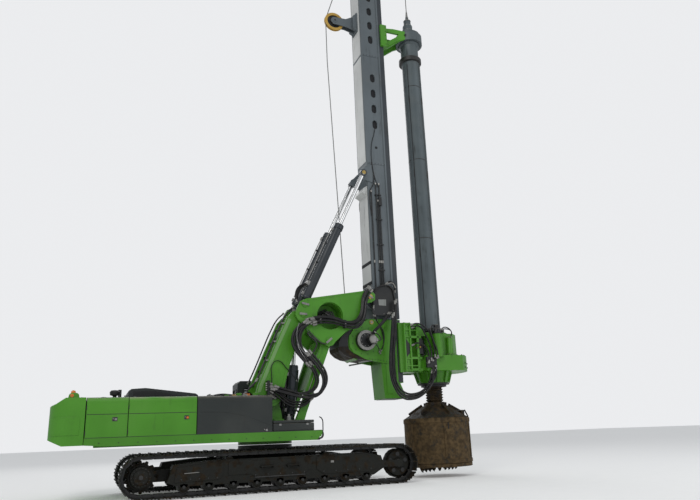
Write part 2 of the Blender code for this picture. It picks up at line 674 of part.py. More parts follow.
# ---- mast ----------------------------------------------------------------------------------
def build_mast(triangle):
    tilt = pivot("mast_axis", (MAST_PIN[0], 0.0, MAST_PIN[1]), triangle)
    half = MAST_HALF_WIDTH
    column = box((MAST_REAR_X, MAST_FRONT_X), (-half, half), (MAST_FOOT_Z, MAST_TOP_Z), 0.02, 1)
    rails = both_sides(lambda side: box((MAST_FRONT_X - 0.05, MAST_RAIL_X),
                                        span(side, half - 0.12, half + 0.03),
                                        (MAST_FOOT_Z + 0.03, MAST_TOP_Z - 0.04)))
    holes = []
    for z in [10.73 + 0.56 * i for i in range(4)] + [13.87 + 0.55 * i for i in range(4)]:
        slot = arc((3.50, z + 0.07), 0.085, 0, 180, 4) + arc((3.50, z - 0.07), 0.085, 180, 360, 4)
        for side in (-1, 1):
            holes.append(side_plate(slot, span(side, half - 0.06, half + 0.06)))
    pin_lugs = both_sides(lambda side: side_plate(
        [(MAST_REAR_X + 0.05, 4.70), (MAST_REAR_X + 0.05, 5.40), (3.05, 5.30)]
        + arc(MAST_PIN, 0.14, 100, 260, 8) + [(3.05, 4.72)], span(side, 0.28, 0.40)))
    caps = both_sides(lambda side: disc(MAST_PIN, span(side, 0.30, 0.50), 0.10, sides=16))
    ram_lugs = both_sides(lambda side: side_plate(
        [(3.30, 8.70), (3.30, 9.30), (3.10, 9.22)] + arc(TILT_HEAD, 0.11, 100, 250, 6)
        + [(3.02, 8.78)], span(side, 0.30, 0.405)))
    mast = cut(joined(column, *rails, *pin_lugs, *caps, *ram_lugs), *holes)
    part("mast", "mast_grey", mast, tilt)
    return tilt


def build_mast_foot(tilt):
    """The green lower mast: a tapering box, the winch's cheeks and the black drum guard."""
    half = MAST_HALF_WIDTH
    top = MAST_FOOT_Z - GAP
    column = side_plate([(3.32, top), (3.30, 3.10), (3.36, 2.17), (4.05, 2.17), (MAST_FRONT_X, 2.75),
                         (MAST_FRONT_X, top)], (-half, half))
    rails = both_sides(lambda side: box((MAST_FRONT_X - 0.05, MAST_RAIL_X),
                                        span(side, half - 0.12, half + 0.03), (2.60, top)))
    cheek = [(2.98, top), (2.70, 4.28), (2.47, 4.12), (2.32, 3.90), (2.33, 3.62), (2.44, 3.44),
             (2.80, 3.26), (3.34, 3.16), (3.50, 3.16), (3.50, top)]
    cheeks = both_sides(lambda side: side_plate(cheek, span(side, half - 0.04, half + 0.04)))
    guard = arc(WINCH, 0.60, 115, 245, 9) + arc(WINCH, 0.485, 245, 115, 9)
    cover = side_plate(guard, (-half, half))
    plate = box((2.88, 3.40), (-half + 0.02, half - 0.02), (top - 0.06, top))
    part("mast_foot", "green_paint", joined(column, *rails, *cheeks, cover, plate), tilt)

    drum_axis = pivot("winch_axis", (WINCH[0], 0.0, WINCH[1]), tilt)
    r = WINCH_RADIUS
    w = half - 0.055
    profile = [(0.0, w), (r, w), (r, w - 0.03), (0.30, w - 0.04), (0.30, 0.04 - w), (r, 0.03 - w),
               (r, -w), (0.0, -w)]
    part("winch_drum", "black_steel",
         turned(profile, WINCH[0], axis="Y", centre_z=WINCH[1], steps=28), drum_axis)
    ring = disc(WINCH, (-half - 0.16, -half - 0.04 - GAP), 0.29, sides=36)
    motor = disc((WINCH[0] + 0.12, WINCH[1]), (-half - 0.34, -half - 0.10), 0.13, sides=20)
    part("winch_motor", "black_steel", joined(ring, motor), tilt)


def sheave(name, centre, y, radius, finish, parent):
    axis = pivot(f"{name}_axis", (centre[0], y, centre[1]), parent)
    profile = [(0.0, 0.045), (radius, 0.045), (radius - 0.05, 0.012),
               (radius - 0.05, -0.012), (radius, -0.045), (0.0, -0.045)]
    part(name, finish, turned(profile, centre[0], y, axis="Y", centre_z=centre[1], steps=20), axis)


def build_mast_head(tilt):
    """The crown over the mast, reaching forward to the kelly, with its two sheaves."""
    low = MAST_TOP_Z + GAP
    outline = [(MAST_REAR_X - 0.12, low), (MAST_FRONT_X + 0.10, low), (4.35, 16.72), (5.02, 16.95),
               (5.10, 17.10), (5.06, 17.30), (4.50, 17.34), (3.60, 17.16), (3.00, 17.10),
               (2.84, 16.95), (2.92, 16.70)]
    cheeks = both_sides(lambda side: side_plate(outline, span(side, 0.10, 0.15)))
    base = box((MAST_REAR_X, MAST_FRONT_X), (-0.34, 0.34), (low, MAST_TOP_Z + 0.10))
    spacer = box((3.90, 4.02), (-0.13, 0.13), (16.62, 16.76))
    part("mast_head", "green_paint", joined(cheeks[0], cheeks[1], base, spacer), tilt)
    sheave("crown_sheave_front", (KELLY_X - 0.31, 17.12), 0.0, 0.34, "black_steel", tilt)
    sheave("crown_sheave_rear", (3.14, 16.98), 0.0, 0.34, "black_steel", tilt)

    arm = [(MAST_REAR_X - GAP, 14.92), (MAST_REAR_X - GAP, 14.3), (2.75, 14.4), (2.28, 14.42)]
    arm += arc((2.36, 14.56), 0.13, 240, 100, 8)
    arm += [(2.75, 14.7)]
    arms = both_sides(lambda side: side_plate(arm, span(side, 0.075, 0.105)))
    root = box((MAST_REAR_X - 0.06, MAST_REAR_X - GAP), (-0.20, 0.20), (14.25, 14.96))
    part("rear_arm", "mast_grey", joined(arms[0], arms[1], root), tilt)
    sheave("rear_sheave", (2.36, 14.56), 0.0, 0.33, "ochre_paint", tilt)


# ---- rotary drive, kelly and bucket ------------------------------------------------------
def build_rotary(tilt):
    """The sled on the mast's rails, the gearbox with its motors, and the driven sleeve."""
    slide = pivot("rotary_slide", (4.2, 0.0, 3.6), tilt)
    low, top = 2.89, 4.32
    back = MAST_RAIL_X + 0.012
    plate = box((back, 4.20), (-0.56, 0.56), (low, top), 0.015, 1)
    jaws = both_sides(lambda side: box((3.84, back + 0.05), span(side, 0.418, 0.50), (low, top)))
    shapes = list(jaws)
    for z in (low + 0.03, 3.25, 3.86, top - 0.10):
        shapes.append(box((4.15, 4.52), (-0.60, 0.60), (z, z + 0.07)))
    shapes += both_sides(lambda side: box((4.15, 4.60), span(side, 0.34, 0.42), (low, top)))
    part("rotary_sled", "green_paint", joined(plate, *shapes), slide)

    start = 4.60 + GAP
    bow = 0.92
    plan = [(start, -0.70)] + arc((ROTARY_FRONT_X - bow, 0.0), bow, -60, 60, 10) + [(start, 0.70)]
    lower = floor_plate(plan, (2.92, 3.36))
    upper = floor_plate([(start + 0.14, -0.56), (5.60, -0.56), (5.84, -0.32), (5.84, 0.32),
                         (5.60, 0.56), (start + 0.14, 0.56)], (3.30, 4.02))
    skirt = rod((KELLY_X, 0.0, 2.93), (KELLY_X, 0.0, 2.57), 0.54, 0.43, sides=28)
    motors = both_sides(lambda side: post(4.98, side * 0.72, (3.30, 3.98), 0.15, sides=18))
    bore = post(KELLY_X, 0.0, (2.4, 4.3), 0.39, sides=28)
    gearbox = cut(joined(lower, upper, skirt, *motors), bore)
    part("rotary_gearbox", "green_paint", gearbox, slide)

    spin = pivot("drive_axis", (KELLY_X, 0.0, 3.5), slide)
    sleeve = [(0.377, 2.50), (0.377, 4.10), (0.44, 4.12), (0.44, 4.20), (0.335, 4.20),
              (0.335, 2.50)]
    part("drive_sleeve", "black_steel", turned(sleeve, KELLY_X, steps=28), spin)


def build_kelly(tilt):
    """The guide on the mast, and the telescopic bar with the bucket on its lower end."""
    guide = pivot("kelly_guide_slide", (4.2, 0.0, 14.1), tilt)
    back = MAST_RAIL_X + 0.012
    arm = [(back, 14.46), (back, 13.70), (4.12, 13.70), (4.66, 14.12), (4.86, 14.22),
           (4.86, 14.52), (4.40, 14.52)]
    opening = [(4.14, 14.36), (4.14, 13.96), (4.52, 14.24), (4.60, 14.36)]
    arms = both_sides(lambda side: side_plate(arm, span(side, 0.26, 0.34), [opening]))
    rear = box((back, 4.06), (-0.50, 0.50), (13.66, 14.48))
    jaws = both_sides(lambda side: box((3.84, back + 0.05), span(side, 0.418, 0.50),
                                       (13.66, 14.48)))
    collar = post(KELLY_X, 0.0, (14.20, 14.52), 0.46, sides=28)
    bore = post(KELLY_X, 0.0, (14.0, 14.8), 0.37, sides=28)
    part("kelly_guide", "green_paint", cut(joined(rear, *arms, *jaws, collar), bore), guide)

    swivel = [(0.0, 15.40), (0.05, 15.40), (0.06, 15.25), (0.12, 15.20), (0.13, 15.02),
              (0.17, 15.0), (0.17, 14.80), (0.22, 14.78), (0.22, 14.672), (0.0, 14.672)]
    part("kelly_swivel", "kelly_grey", turned(swivel, KELLY_X, steps=20), guide)

    spin = pivot("kelly_axis", (KELLY_X, 0.0, 8.5), guide)
    r = KELLY_RADIUS
    inner = 0.232
    outer = [(inner, 2.58), (r, 2.58), (r, 13.42), (0.34, 13.50), (0.34, 13.66), (0.30, 13.68),
             (0.30, 14.12), (0.355, 14.16), (0.355, 14.54), (0.40, 14.56), (0.40, 14.62),
             (0.30, 14.664), (inner, 14.664)]
    tube = turned(outer[::-1], KELLY_X, steps=24)
    ribs = []
    for i in range(3):
        angle = tau * i / 3 + radians(90)
        centre = Vector((KELLY_X, 0.0, 0.0)) + Vector((cos(angle), sin(angle), 0.0)) * (r - 0.003)
        rib = box((-0.02, 0.05), (-0.035, 0.035), (2.62, 13.40))
        rib.rotation_euler = (0.0, 0.0, angle)
        rib.location = (SWING_X + centre.x + 0.012 * cos(angle), centre.y + 0.012 * sin(angle), 8.01)
        ribs.append(rib)
    part("kelly_outer", "kelly_grey", joined(tube, *ribs), spin)

    extend = pivot("kelly_extend_slide", (KELLY_X, 0.0, 2.3), spin)
    profile = [(0.0, 14.60), (0.215, 14.60), (0.215, 2.56)]
    for i in range(6):
        z = 2.535 - 0.078 * i
        profile += [(0.22, z), (0.265, z - 0.028)]
    profile += [(0.20, 2.06), (0.0, 2.06)]
    part("kelly_inner", "black_steel", turned(profile, KELLY_X, steps=20), extend)
    return extend


def build_bucket(extend):
    """The drilling bucket with its stepped head, and the flap that closes its foot."""
    r = BUCKET_RADIUS
    wall = 0.03
    low = BUCKET_LOW + 0.10
    profile = [(r, low), (r, BUCKET_TOP), (r - 0.04, BUCKET_TOP + 0.02), (0.28, 2.0),
               (0.28, 2.06 - GAP), (0.0, 2.06 - GAP), (0.0, 1.58), (r - wall, BUCKET_TOP - 0.06),
               (r - wall, low)]
    part("bucket", "muddy_steel", turned(profile, KELLY_X, steps=32), extend)
    hinge = pivot("bucket_flap_hinge", (KELLY_X - r - 0.01, 0.0, low - 0.003), extend)
    flap = post(KELLY_X, 0.0, (BUCKET_LOW, low - 0.006), r - 0.005, sides=32)
    part("bucket_flap", "muddy_steel", flap, hinge)


def build_front():
    house = build_house()
    boom = build_boom(house)
    build_link(house)
    triangle = build_triangle(boom)
    build_cylinder("lift", LIFT_FOOT, LIFT_HEAD, LIFT_Y, 0.12, 0.055, 1.46, house, 0.11)
    build_cylinder("tilt", TILT_FOOT, TILT_HEAD, TILT_Y, 0.125, 0.065, 2.68, triangle, 0.105)
    tilt = build_mast(triangle)
    build_mast_foot(tilt)
    build_mast_head(tilt)
    build_rotary(tilt)
    extend = build_kelly(tilt)
    build_bucket(extend)


build_undercarriage()
build_front()
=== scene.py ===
"""Looks of the rotary piling rig: surfaces, small fittings, hoses, ropes and the studio."""

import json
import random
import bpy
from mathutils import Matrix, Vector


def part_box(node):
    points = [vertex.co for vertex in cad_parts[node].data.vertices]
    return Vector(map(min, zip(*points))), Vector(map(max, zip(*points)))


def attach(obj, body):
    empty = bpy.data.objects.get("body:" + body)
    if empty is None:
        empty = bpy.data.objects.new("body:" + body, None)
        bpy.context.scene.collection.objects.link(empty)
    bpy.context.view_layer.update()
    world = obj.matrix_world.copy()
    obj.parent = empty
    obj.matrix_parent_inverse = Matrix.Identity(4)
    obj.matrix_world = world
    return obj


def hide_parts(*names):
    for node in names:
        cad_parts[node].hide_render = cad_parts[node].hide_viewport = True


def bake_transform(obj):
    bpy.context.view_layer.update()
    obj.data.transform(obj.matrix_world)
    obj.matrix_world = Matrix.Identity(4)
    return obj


bl_info = {
    "name": "Rotary Piling Rig Looks",
    "version": (1, 0, 0),
    "blender": (4, 5, 0),
    "location": "3D View > Sidebar > Piling Rig",
    "description": "Builds the visible surfaces of a crawler-mounted rotary piling rig",
    "category": "Object",
}

from math import atan2, cos, pi, radians, sin, sqrt, tau

import bmesh
import bpy
from bpy.props import FloatProperty, FloatVectorProperty, IntProperty, PointerProperty
from mathutils import Matrix, Vector

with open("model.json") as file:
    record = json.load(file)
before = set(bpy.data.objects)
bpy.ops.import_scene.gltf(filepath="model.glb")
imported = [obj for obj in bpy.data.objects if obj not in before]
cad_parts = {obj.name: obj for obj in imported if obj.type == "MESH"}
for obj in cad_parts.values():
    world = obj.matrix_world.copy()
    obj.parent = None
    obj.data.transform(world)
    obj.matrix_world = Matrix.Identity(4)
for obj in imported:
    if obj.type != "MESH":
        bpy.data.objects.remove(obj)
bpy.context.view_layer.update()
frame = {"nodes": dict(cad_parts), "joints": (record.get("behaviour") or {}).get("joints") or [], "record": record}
NODES = frame["nodes"]
JOINTS = {joint["name"]: joint for joint in frame["joints"]}


# ---- places read from the frame ------------------------------------------------------------
# X is measured from the swing centre here, as in the part; piece() adds SWING_X at the end.
SWING_X = JOINTS["swing"]["pos_m"][0]
SHIFT = Vector((SWING_X, 0.0, 0.0))
SIDES = (-1, 1)


def low(node):
    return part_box(node)[0] - SHIFT


def high(node):
    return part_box(node)[1] - SHIFT


def pin(joint):
    """Where a hinge's axis passes."""
    return Vector(JOINTS[joint]["pos_m"]) - SHIFT


def span(side, inner, outer):
    """Two Y values in rising order, at these distances from the middle, on one side."""
    return (inner, outer) if side > 0 else (-outer, -inner)


# ---- settings ------------------------------------------------------------------------------
class RigPaint(bpy.types.PropertyGroup):
    """Colours of the machine's finishes."""

    green: FloatVectorProperty(
        name="Green", description="Paint of house, boom and rotary", subtype="COLOR",
        size=3, min=0, max=1, default=(0.060, 0.240, 0.012))
    dark: FloatVectorProperty(
        name="Dark panels", description="Paint of hood, roof and front panel", subtype="COLOR",
        size=3, min=0, max=1, default=(0.022, 0.027, 0.026))
    mast: FloatVectorProperty(
        name="Mast", description="Paint of the mast", subtype="COLOR",
        size=3, min=0, max=1, default=(0.105, 0.125, 0.137))
    kelly: FloatVectorProperty(
        name="Kelly", description="Paint of the kelly bar", subtype="COLOR",
        size=3, min=0, max=1, default=(0.082, 0.102, 0.110))
    mud: FloatVectorProperty(
        name="Mud", description="Dried soil on the bucket and tracks", subtype="COLOR",
        size=3, min=0, max=1, default=(0.115, 0.076, 0.036))
    dust: FloatVectorProperty(
        name="Dust", description="Fine dust on flat tops", subtype="COLOR",
        size=3, min=0, max=1, default=(0.32, 0.28, 0.21))
    ochre: FloatVectorProperty(
        name="Ochre", description="Rim of the rear sheave", subtype="COLOR",
        size=3, min=0, max=1, default=(0.42, 0.26, 0.05))


class RigSizes(bpy.types.PropertyGroup):
    """Sizes of repeated fittings."""

    shoe_count: IntProperty(
        name="Shoes", description="Shoes on each track", default=64, min=20, max=120)
    hose_radius: FloatProperty(
        name="Hose radius", description="Radius of the main hydraulic hoses", default=0.024,
        min=0.005, max=0.1, unit="LENGTH")
    rope_radius: FloatProperty(
        name="Rope radius", description="Radius of the winch rope", default=0.015,
        min=0.005, max=0.05, unit="LENGTH")
    edge: FloatProperty(
        name="Edge", description="Rounding of plate edges", default=0.008,
        min=0.001, max=0.03, unit="LENGTH")


def paint():
    return bpy.context.scene.rig_paint


def sizes():
    return bpy.context.scene.rig_sizes


# ---- shader maths --------------------------------------------------------------------------
class Sock:
    """A socket or a number that shader expressions are written with."""

    def __init__(self, graph, out):
        self.graph = graph
        self.out = out

    def maths(self, operation, *others, clamp=False):
        return self.graph.node("ShaderNodeMath", {"operation": operation, "use_clamp": clamp},
                               dict(enumerate([self, *others])))

    def __add__(self, other):
        return self.maths("ADD", other)

    def __radd__(self, other):
        return self.graph.number(other).maths("ADD", self)

    def __sub__(self, other):
        return self.maths("SUBTRACT", other)

    def __rsub__(self, other):
        return self.graph.number(other).maths("SUBTRACT", self)

    def __mul__(self, other):
        return self.maths("MULTIPLY", other)

    def __rmul__(self, other):
        return self.maths("MULTIPLY", other)

    def __truediv__(self, other):
        return self.maths("DIVIDE", other)

    def __pow__(self, other):
        return self.maths("POWER", other)

    def clamped(self):
        return self.maths("ADD", 0.0, clamp=True)

    def step(self, start, end):
        """0 below start and 1 above end, with a smooth rise between."""
        return self.graph.node(
            "ShaderNodeMapRange", {"interpolation_type": "SMOOTHSTEP"},
            {"Value": self, "From Min": start, "From Max": end, "To Min": 0.0, "To Max": 1.0})


class Graph:
    """A material's node tree with its Principled shader."""

    def __init__(self, name):
        self.material = bpy.data.materials.new(name)
        self.material.use_nodes = True
        self.tree = self.material.node_tree
        self.shader = self.tree.nodes["Principled BSDF"]

    def number(self, value):
        if isinstance(value, Sock):
            return value
        node = self.tree.nodes.new("ShaderNodeValue")
        node.outputs[0].default_value = value
        return Sock(self, node.outputs[0])

    def node(self, kind, settings=None, inputs=None, output=0):
        node = self.tree.nodes.new(kind)
        for key, value in (settings or {}).items():
            setattr(node, key, value)
        for key, value in (inputs or {}).items():
            self.feed(node.inputs[key], value)
        return Sock(self, node.outputs[output])

    def feed(self, socket, value):
        if isinstance(value, Sock):
            self.tree.links.new(value.out, socket)
        elif isinstance(value, (tuple, list)) and len(value) == 3 and socket.type == "RGBA":
            socket.default_value = (*value, 1.0)
        else:
            socket.default_value = value

    def place(self, scale=(1.0, 1.0, 1.0)):
        """Object coordinates, stretched along the axes."""
        spot = self.node("ShaderNodeTexCoord", output="Object")
        if tuple(scale) == (1.0, 1.0, 1.0):
            return spot
        return self.node("ShaderNodeMapping", {}, {"Vector": spot, "Scale": scale})

    def height(self):
        """Height over the floor, in metres."""
        return self.node("ShaderNodeSeparateXYZ", {}, {0: self.place()}, output="Z")

    def facing_up(self):
        """1 on faces that look up, 0 on walls."""
        normal = self.node("ShaderNodeNewGeometry", output="Normal")
        return self.node("ShaderNodeSeparateXYZ", {}, {0: normal}, output="Z")

    def noise(self, size, detail=4.0, rough=0.55, stretch=(1.0, 1.0, 1.0)):
        return self.node("ShaderNodeTexNoise", {"noise_dimensions": "3D"},
                         {"Vector": self.place(stretch), "Scale": 1.0 / size, "Detail": detail,
                          "Roughness": rough}, output="Fac")

    def cells(self, size, feature="F1", stretch=(1.0, 1.0, 1.0)):
        return self.node("ShaderNodeTexVoronoi", {"feature": feature},
                         {"Vector": self.place(stretch), "Scale": 1.0 / size}, output="Distance")

    def waves(self, size, distortion=0.0, direction="Z"):
        settings = {"wave_type": "BANDS", "bands_direction": direction}
        return self.node("ShaderNodeTexWave", settings,
                         {"Vector": self.place(), "Scale": 0.31416 / size,
                          "Distortion": distortion}, output="Fac")

    def mix(self, factor, a, b):
        return self.node("ShaderNodeMix", {"data_type": "RGBA"}, {0: factor, 6: a, 7: b}, output=2)

    def bump(self, height, depth, strength=1.0, under=None):
        inputs = {"Height": height, "Distance": depth, "Strength": strength}
        if under:
            inputs["Normal"] = under
        return self.node("ShaderNodeBump", {}, inputs)

    def finish(self, **values):
        for key, value in values.items():
            self.feed(self.shader.inputs[key.replace("_", " ")], value)
        return self.material


def paint_finish(name, colour, rough=0.38, dust=0.5, grime=0.5, metal=0.0, chips=0.35,
                 low_mud=0.0, coat=0.12):
    """Sprayed paint: uneven fading, dust on tops, run-down grime, chips and orange peel."""
    g = Graph(name)
    fade = g.noise(1.7, 3.0)
    tint = g.mix(fade.step(0.35, 0.7), tuple(c * 0.90 for c in colour),
                 tuple(min(1.0, c * 1.10 + 0.004) for c in colour))
    streak = g.noise(0.10, 5.0, 0.65, stretch=(1.0, 1.0, 0.10))
    patches = g.noise(0.55, 5.0, 0.6)
    dirt = (streak.step(0.50, 0.78) * patches.step(0.42, 0.68)) * grime
    body = g.mix(dirt, tint, (0.020, 0.019, 0.015))
    speck = g.noise(0.035, 6.0, 0.7).step(0.69 - 0.04 * chips, 0.74)
    worn = speck * chips
    body = g.mix(worn, body, (0.10, 0.095, 0.085))
    settle = (g.facing_up().step(0.25, 0.95) * g.noise(0.30, 5.0).step(0.30, 0.62)) * dust
    film = g.noise(0.9, 4.0).step(0.45, 0.85) * (dust * 0.10)
    body = g.mix((settle + film).clamped(), body, tuple(paint().dust))
    if low_mud:
        splash = g.noise(0.16, 6.0, 0.65)
        rise = 1.0 - g.height().step(0.1, 1.5)
        mud = ((rise + splash - 0.75).clamped() * 2.2 * low_mud).clamped()
        body = g.mix(mud, body, tuple(c * 0.55 for c in paint().mud))
    peel = g.noise(0.006, 2.0)
    dents = g.noise(0.8, 2.0)
    normal = g.bump(peel * 0.0006 + dents * 0.006 - worn * 0.0006, 1.0, 0.6)
    roughness = (patches * 0.22 + (rough - 0.08) + dirt * 0.25 + settle * 0.35).clamped()
    return g.finish(Base_Color=body, Roughness=roughness, Metallic=metal, Coat_Weight=coat,
                    Coat_Roughness=0.25, Specular_IOR_Level=0.32, Normal=normal)


def soil_finish(name, base, soil, cover=0.6, grain=0.012, rough=0.9):
    """Steel under dry soil: crusts, cracks and scraped patches."""
    g = Graph(name)
    crust = g.noise(0.22, 7.0, 0.62)
    clods = g.cells(0.09)
    grit = g.noise(grain, 5.0, 0.7)
    mask = (crust.step(0.62 - 0.35 * cover, 0.70 - 0.25 * cover) * 0.9 + grit * 0.15).clamped()
    earth = g.mix(g.noise(0.12, 6.0).step(0.3, 0.7), tuple(c * 0.42 for c in soil), tuple(soil))
    steel = g.mix(g.noise(0.3, 5.0), tuple(c * 0.7 for c in base), tuple(c * 1.4 for c in base))
    colour = g.mix(mask, steel, earth)
    normal = g.bump(crust * 0.03 * cover + clods * 0.012 * cover + grit * 0.004, 1.0, 0.9)
    roughness = (mask * 0.35 + 0.55 * rough + grit * 0.08).clamped()
    return g.finish(Base_Color=colour, Roughness=roughness, Metallic=0.1,
                    Specular_IOR_Level=0.22, Normal=normal)


def bare_finish(name, colour, rough, metal, grease=0.3, scale=0.2):
    """Bare or blackened metal with handling marks and grease."""
    g = Graph(name)
    cloud = g.noise(scale, 6.0, 0.6)
    smear = g.noise(0.05, 5.0, 0.7, stretch=(1.0, 1.0, 0.25)).step(0.45, 0.75)
    tone = g.mix(cloud, tuple(c * 0.65 for c in colour), tuple(min(1.0, c * 1.35) for c in colour))
    tone = g.mix(smear * grease, tone, (0.012, 0.011, 0.009))
    dusty = (g.facing_up().step(0.3, 1.0) * cloud.step(0.35, 0.7)) * 0.35
    tone = g.mix(dusty, tone, tuple(paint().dust))
    normal = g.bump(g.noise(0.01, 4.0) * 0.0012, 1.0, 0.5)
    roughness = (cloud * 0.25 + (rough - 0.1) + dusty * 0.4).clamped()
    return g.finish(Base_Color=tone, Roughness=roughness, Metallic=metal, Normal=normal)


def rubber_finish(name):
    """Hose rubber: dull black with a faint wrap pattern and dust."""
    g = Graph(name)
    dusty = g.noise(0.14, 5.0).step(0.45, 0.75) * 0.25 + g.facing_up().step(0.2, 1.0) * 0.12
    tone = g.mix(dusty, (0.007, 0.007, 0.008), (0.09, 0.08, 0.07))
    weave = g.noise(0.004, 2.0)
    return g.finish(Base_Color=tone, Roughness=(dusty * 0.5 + 0.34).clamped(),
                    Normal=g.bump(weave * 0.0008, 1.0, 0.5), Specular_IOR_Level=0.35)


def chrome_finish(name):
    """A plated ram rod with oil film and fine length-wise marks."""
    g = Graph(name)
    film = g.noise(0.25, 4.0)
    lines = g.noise(0.004, 2.0, 0.5, stretch=(1.0, 1.0, 0.05))
    tone = g.mix(film, (0.55, 0.55, 0.54), (0.80, 0.80, 0.80))
    return g.finish(Base_Color=tone, Roughness=film * 0.12 + 0.14, Metallic=1.0,
                    Normal=g.bump(lines * 0.0003, 1.0, 0.3))


def rope_finish(name):
    """Steel wire rope: strands round the rope, with grease and painted shade darkening the grooves between them.
    """
    g = Graph(name)
    lay = g.waves(0.03, 2.0)
    # Dark bands between the strands: partly grease, partly painted shade in the grooves.
    tone = g.mix(lay, (0.05, 0.05, 0.048), (0.33, 0.33, 0.32))
    return g.finish(Base_Color=tone, Roughness=0.5, Metallic=0.7,
                    Normal=g.bump(lay * 0.003, 1.0, 0.8))


def glass_finish(name):
    """Clear tinted glass with a light haze of dust in patches."""
    g = Graph(name)
    haze = g.noise(0.5, 4.0).step(0.5, 0.9) * 0.10
    tone = g.mix(haze, (0.035, 0.048, 0.046), (0.20, 0.19, 0.16))
    return g.finish(Base_Color=tone, Roughness=(haze * 1.2 + 0.05).clamped(),
                    Alpha=(haze * 0.8 + 0.42).clamped())


def cloth_finish(name):
    """Woven seat cloth."""
    g = Graph(name)
    across = g.waves(0.003, 0.4, "Y")
    along = g.waves(0.003, 0.4, "Z")
    weave = (across + along) * 0.5
    tone = g.mix(weave, (0.014, 0.015, 0.017), (0.055, 0.057, 0.062))
    return g.finish(Base_Color=tone, Roughness=0.88, Normal=g.bump(weave * 0.0015, 1.0, 0.8))


def lamp_finish(name, colour):
    g = Graph(name)
    ribs = g.waves(0.012, 0.0, "Z")
    tone = g.mix(ribs, tuple(c * 0.6 for c in colour), colour)
    return g.finish(Base_Color=tone, Roughness=ribs * 0.1 + 0.15, Coat_Weight=0.6)


FINISHES = {}


def make_finishes():
    p = paint()
    green = tuple(p.green)
    recipes = {
        "green": lambda n: paint_finish(n, green),
        "green_low": lambda n: paint_finish(n, tuple(c * 0.9 for c in green), low_mud=0.8),
        "green_work": lambda n: paint_finish(n, green, grime=0.75, dust=0.7, chips=0.6),
        "dark": lambda n: paint_finish(n, tuple(p.dark), rough=0.45, dust=0.28, chips=0.2),
        "mast": lambda n: paint_finish(n, tuple(p.mast), rough=0.45, grime=0.8, dust=0.5,
                                       metal=0.15, chips=0.5),
        "kelly": lambda n: paint_finish(n, tuple(p.kelly), rough=0.5, grime=0.9, dust=0.5,
                                        metal=0.3, chips=0.7),
        "black": lambda n: paint_finish(n, (0.011, 0.012, 0.013), rough=0.4, dust=0.4,
                                        grime=0.3, chips=0.3),
        "track": lambda n: soil_finish(n, (0.011, 0.012, 0.010), tuple(c * 0.22 for c in p.mud),
                                       cover=0.35, rough=0.8),
        "shoe": lambda n: soil_finish(n, (0.015, 0.016, 0.014), tuple(c * 0.26 for c in p.mud),
                                      cover=0.45, rough=0.75),
        "bucket": lambda n: soil_finish(n, (0.020, 0.017, 0.012), tuple(p.mud), cover=0.85),
        "head": lambda n: soil_finish(n, (0.016, 0.014, 0.012), tuple(c * 0.5 for c in p.mud),
                                      cover=0.55),
        "steel": lambda n: bare_finish(n, (0.30, 0.30, 0.29), 0.4, 0.9),
        "dark_steel": lambda n: bare_finish(n, (0.045, 0.045, 0.045), 0.45, 0.6, grease=0.5),
        "brass": lambda n: bare_finish(n, (0.42, 0.30, 0.10), 0.35, 0.8),
        "silver": lambda n: bare_finish(n, (0.27, 0.265, 0.25), 0.4, 0.6, grease=0.5, scale=0.1),
        "ochre": lambda n: paint_finish(n, tuple(p.ochre), rough=0.5, grime=0.7, chips=0.6),
        "rubber": rubber_finish,
        "chrome": chrome_finish,
        "rope": rope_finish,
        "glass": glass_finish,
        "cloth": cloth_finish,
        "amber": lambda n: lamp_finish(n, (0.75, 0.20, 0.01)),
        "clear": lambda n: lamp_finish(n, (0.75, 0.75, 0.72)),
        "grey": lambda n: paint_finish(n, (0.22, 0.23, 0.22), rough=0.6, dust=0.3, chips=0.2),
        "ram": lambda n: paint_finish(n, (0.028, 0.034, 0.041), rough=0.38, dust=0.3, chips=0.3),
        "rail": lambda n: paint_finish(n, (0.030, 0.037, 0.044), rough=0.5, grime=0.8, chips=0.5),
        "light_green": lambda n: paint_finish(n, (0.15, 0.30, 0.10), rough=0.5, dust=0.6),
        # Near-black finish put in holes, slots and openings: painted shade of their insides.
        "hollow": lambda n: bare_finish(n, (0.008, 0.009, 0.011), 0.8, 0.0),
        "light_strip": lambda n: paint_finish(n, (0.55, 0.56, 0.55), rough=0.55, grime=0.7,
                                              chips=0.3),
    }
    for name, recipe in recipes.items():
        FINISHES[name] = recipe(name)


# ---- mesh helpers --------------------------------------------------------------------------
def piece(name, bm, materials, body, replaces=(), bevel=0.0, segments=2, angle=32, turn=None):
    """Makes a bmesh an object, riding on a body, or, with turn given, left fixed in place."""
    bmesh.ops.translate(bm, verts=bm.verts[:], vec=SHIFT)
    mesh = bpy.data.meshes.new(name)
    bm.to_mesh(mesh)
    bm.free()
    obj = bpy.data.objects.new(name, mesh)
    bpy.context.scene.collection.objects.link(obj)
    for entry in materials.split():
        mesh.materials.append(FINISHES[entry])
    mesh.shade_smooth()
    mesh.set_sharp_from_angle(angle=radians(angle))
    if bevel:
        soften = obj.modifiers.new("edges", "BEVEL")
        soften.width = bevel
        soften.segments = segments
        soften.limit_method = "ANGLE"
        soften.angle_limit = radians(35)
        soften.harden_normals = True
    if turn:
        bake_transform(obj)
    else:
        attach(obj, body)
    if replaces:
        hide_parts(*replaces)
    return obj


def tag(verts, slot):
    """Gives the faces on these points a material slot."""
    if slot:
        for face in {f for v in verts for f in v.link_faces}:
            face.material_index = slot
    return verts


def box(bm, x, y, z, slot=0, tilt=None):
    """A box from its lowest and highest X, Y and Z; tilt is a rotation about its middle."""
    place = Matrix.Translation((sum(x) / 2, sum(y) / 2, sum(z) / 2))
    size = Matrix.Diagonal((x[1] - x[0], y[1] - y[0], z[1] - z[0], 1.0))
    made = bmesh.ops.create_cube(bm, size=1.0, matrix=place @ (tilt or Matrix()) @ size)
    return tag(made["verts"], slot)


